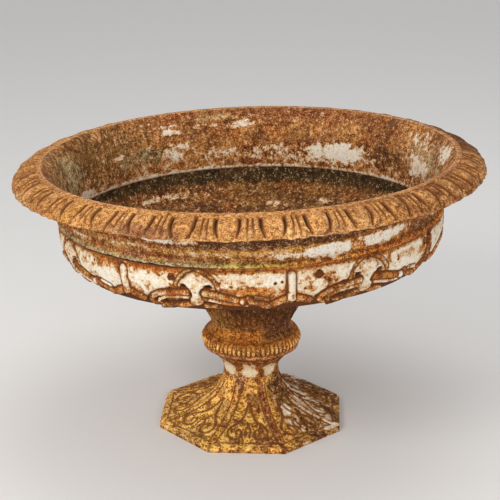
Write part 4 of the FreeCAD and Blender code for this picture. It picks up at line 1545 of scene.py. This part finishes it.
# %% [markdown]
# ## Fixings and beddings
# The tie rod, its nuts and washers and the putty in the two joints are already the right shape, so they
# stay as they are and only get a finish: dark flaking rust on the iron, and cracked grey putty. The nine
# pins of the joint have worn round heads, and the ring tree sets them round as well.

# %% Mix the finishes of the fixings and the putty
FLAKE_GROOVE = (0.16, 0.05, 0.01)
PUTTY_GREY = shade(196, 180, 150)
PUTTY_CHALK = shade(222, 212, 188)
CRACK_SCALE = 90
CHALK_SCALE = 220
STAIN_SCALE = 40


def putty_material():
    material, tree, place = empty_material("putty_cracked")
    cells = add_node(tree, "ShaderNodeTexVoronoi", {"Vector": place, "Scale": CRACK_SCALE},
                     feature="DISTANCE_TO_EDGE")
    crack = ramp(tree, cells.outputs["Distance"], 0.05, 0.015)
    chalk = ramp(tree, grain(tree, place, CHALK_SCALE, 4), 0.35, 0.65)
    stain = ramp(tree, grain(tree, place, STAIN_SCALE, 4), 0.5, 0.68, 0.0, 0.7)
    colour = mix_colour(tree, chalk, PUTTY_GREY, PUTTY_CHALK)
    colour = mix_colour(tree, stain, colour, STAIN)
    colour = mix_colour(tree, crack, colour, DARK_BROWN)
    close_material(tree, colour, 0.95, maths(tree, "SUBTRACT", chalk, crack), bump=0.5, specular=0.5)
    return material


FIXING_IRON = iron_material("fixing_dark_rust", stain=ORANGE, groove=FLAKE_GROOVE, grain_size=1.8,
                            contrast=1.1, specks=0.2, bump=0.6, flakes=(DARK_BROWN, BROWN))
PUTTY = putty_material()

# %% Make the heads of the joint pins
PIN_DEPTH = 3.6
PIN_SIDES = 16
PIN_TIP = 0.02
PIN_PROFILE = np.array([
    (PIN_TIP, 0.3), (1.2, 3.4), (4.0, 4.2), (4.4, 3.9), (4.4, -1.0), (4.3, -5.5), (PIN_TIP, -6.0)])


def pin_stub():
    """One riveted pin with its worn round head outwards, in front of the urn."""
    radius, rise = PIN_PROFILE[:, :1], PIN_PROFILE[:, 1:]
    turn = np.linspace(0, 2 * math.pi, PIN_SIDES, endpoint=False)
    out = -(BOWL_RADIUS - PIN_DEPTH + rise) + 0 * turn
    places = np.stack([radius * np.cos(turn), out, PIN_LEVEL + radius * np.sin(turn)], -1)
    return grid_mesh("pin_stub", places, loop_rows=False, loop_columns=True)


pin_mesh = ring_mesh(pin_stub(), PIN_COUNT, PIN_FIRST, FIXING_IRON, seam=0.08)
place_piece("joint_pin_stubs", pin_mesh, LEAN, "fixing_iron", FIXING_IRON, "joint_pins")

# %% Finish the castings that stay as they are
KEPT_NODES = (
    (FIXING_IRON, ("tie_rod", "taper_washer", "top_nut", "bottom_washer", "bottom_nut")),
    (PUTTY, ("neck_bedding", "seat_bedding")))
for material, nodes in KEPT_NODES:
    for node in nodes:
        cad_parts[node].data.materials.clear()
        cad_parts[node].data.materials.append(material)
    print(material.name, "on", ", ".join(nodes))

# %% [markdown]
# ## Floor, light and camera
# The light is plain: an even pale world and three broad soft lamps, so the colours show about as they are
# written. The floor is pale and fills the picture behind the urn. The camera stands where the photographer
# stood, about two and a half metres off and well above the rim. This studio is laid out in metres.

# %% Floor
FLOOR_HALF = 9
FLOOR_DROP = 0.0004

floor_material = bpy.data.materials.new("studio_floor")
floor_material.use_nodes = True
floor_look = floor_material.node_tree.nodes["Principled BSDF"].inputs
floor_look["Base Color"].default_value = (0.86, 0.86, 0.865, 1)
floor_look["Roughness"].default_value = 0.9
floor_look["Specular IOR Level"].default_value = 0.1
floor_mesh = bpy.data.meshes.new("studio_floor")
corners = [(x * FLOOR_HALF, y * FLOOR_HALF, 0) for x, y in ((-1, -1), (1, -1), (1, 1), (-1, 1))]
floor_mesh.from_pydata(corners, [], [(0, 1, 2, 3)])
floor_mesh.materials.append(floor_material)
floor = new_object("studio_floor", floor_mesh)
floor.location.z = -FLOOR_DROP

# %% World
WORLD_LIGHT = (1.0, 0.985, 0.96, 1)
WORLD_STRENGTH = 0.54
WORLD_SEEN = (0.86, 0.86, 0.87, 1)

world = bpy.data.worlds.new("pale_studio")
bpy.context.scene.world = world
world.use_nodes = True
sky = world.node_tree
backdrop = sky.nodes["Background"]
backdrop.inputs["Color"].default_value = WORLD_LIGHT
backdrop.inputs["Strength"].default_value = WORLD_STRENGTH
ray = add_node(sky, "ShaderNodeLightPath").outputs
plain = add_node(sky, "ShaderNodeBackground", {"Color": WORLD_SEEN, "Strength": 1.0})
either = maths(sky, "MAXIMUM", ray["Is Camera Ray"], ray["Is Glossy Ray"])
choice = add_node(sky, "ShaderNodeMixShader", {0: either, 1: backdrop.outputs[0], 2: plain.outputs[0]})
sky.links.new(choice.outputs[0], sky.nodes["World Output"].inputs[0])

# %% Lamps
# Each lamp has a place, a target, a width, a power and a colour.
LAMPS = {
    "key_lamp": ((-1.7, -2.2, 2.3), (0, 0, 0.3), 1.3, 42, (1.0, 0.97, 0.92)),
    "front_lamp": ((0.9, -3.0, 1.2), (0, 0, 0.22), 1.6, 25, (1.0, 0.98, 0.95)),
    "top_lamp": ((0.3, 0.6, 3.4), (0, 0, 0.5), 2.4, 22, (1.0, 0.99, 0.97))}

for name, (place, target, width, power, colour) in LAMPS.items():
    data = bpy.data.lights.new(name, "AREA")
    data.shape = "DISK"
    data.size = width
    data.energy = power
    data.color = colour
    lamp = new_object(name, data)
    lamp.location = place
    lamp.rotation_euler = (Vector(target) - Vector(place)).to_track_quat("-Z", "Y").to_euler()

# %% Camera
CAMERA_PLACE = (-0.0019, -2.5073, 1.1926)
CAMERA_TILT = 71.425
CAMERA_ROLL = -0.184
FOCAL_PIXELS = 1353.8
PICTURE_PIXELS = 500
SENSOR_WIDTH = 36

camera_data = bpy.data.cameras.new("camera")
camera_data.sensor_width = SENSOR_WIDTH
camera_data.lens = SENSOR_WIDTH * FOCAL_PIXELS / PICTURE_PIXELS
camera = new_object("camera", camera_data)
heading = Matrix.Rotation(LEAN_HEADING, 3, "Z")
tilt = Matrix.Rotation(math.radians(CAMERA_TILT), 3, "X") @ Matrix.Rotation(math.radians(CAMERA_ROLL), 3, "Z")
camera.location = heading @ Vector(CAMERA_PLACE)
camera.rotation_euler = (heading @ tilt).to_euler()
bpy.context.scene.camera = camera
bpy.context.scene.view_settings.view_transform = "Standard"
print("camera at", [round(v, 3) for v in camera.location])
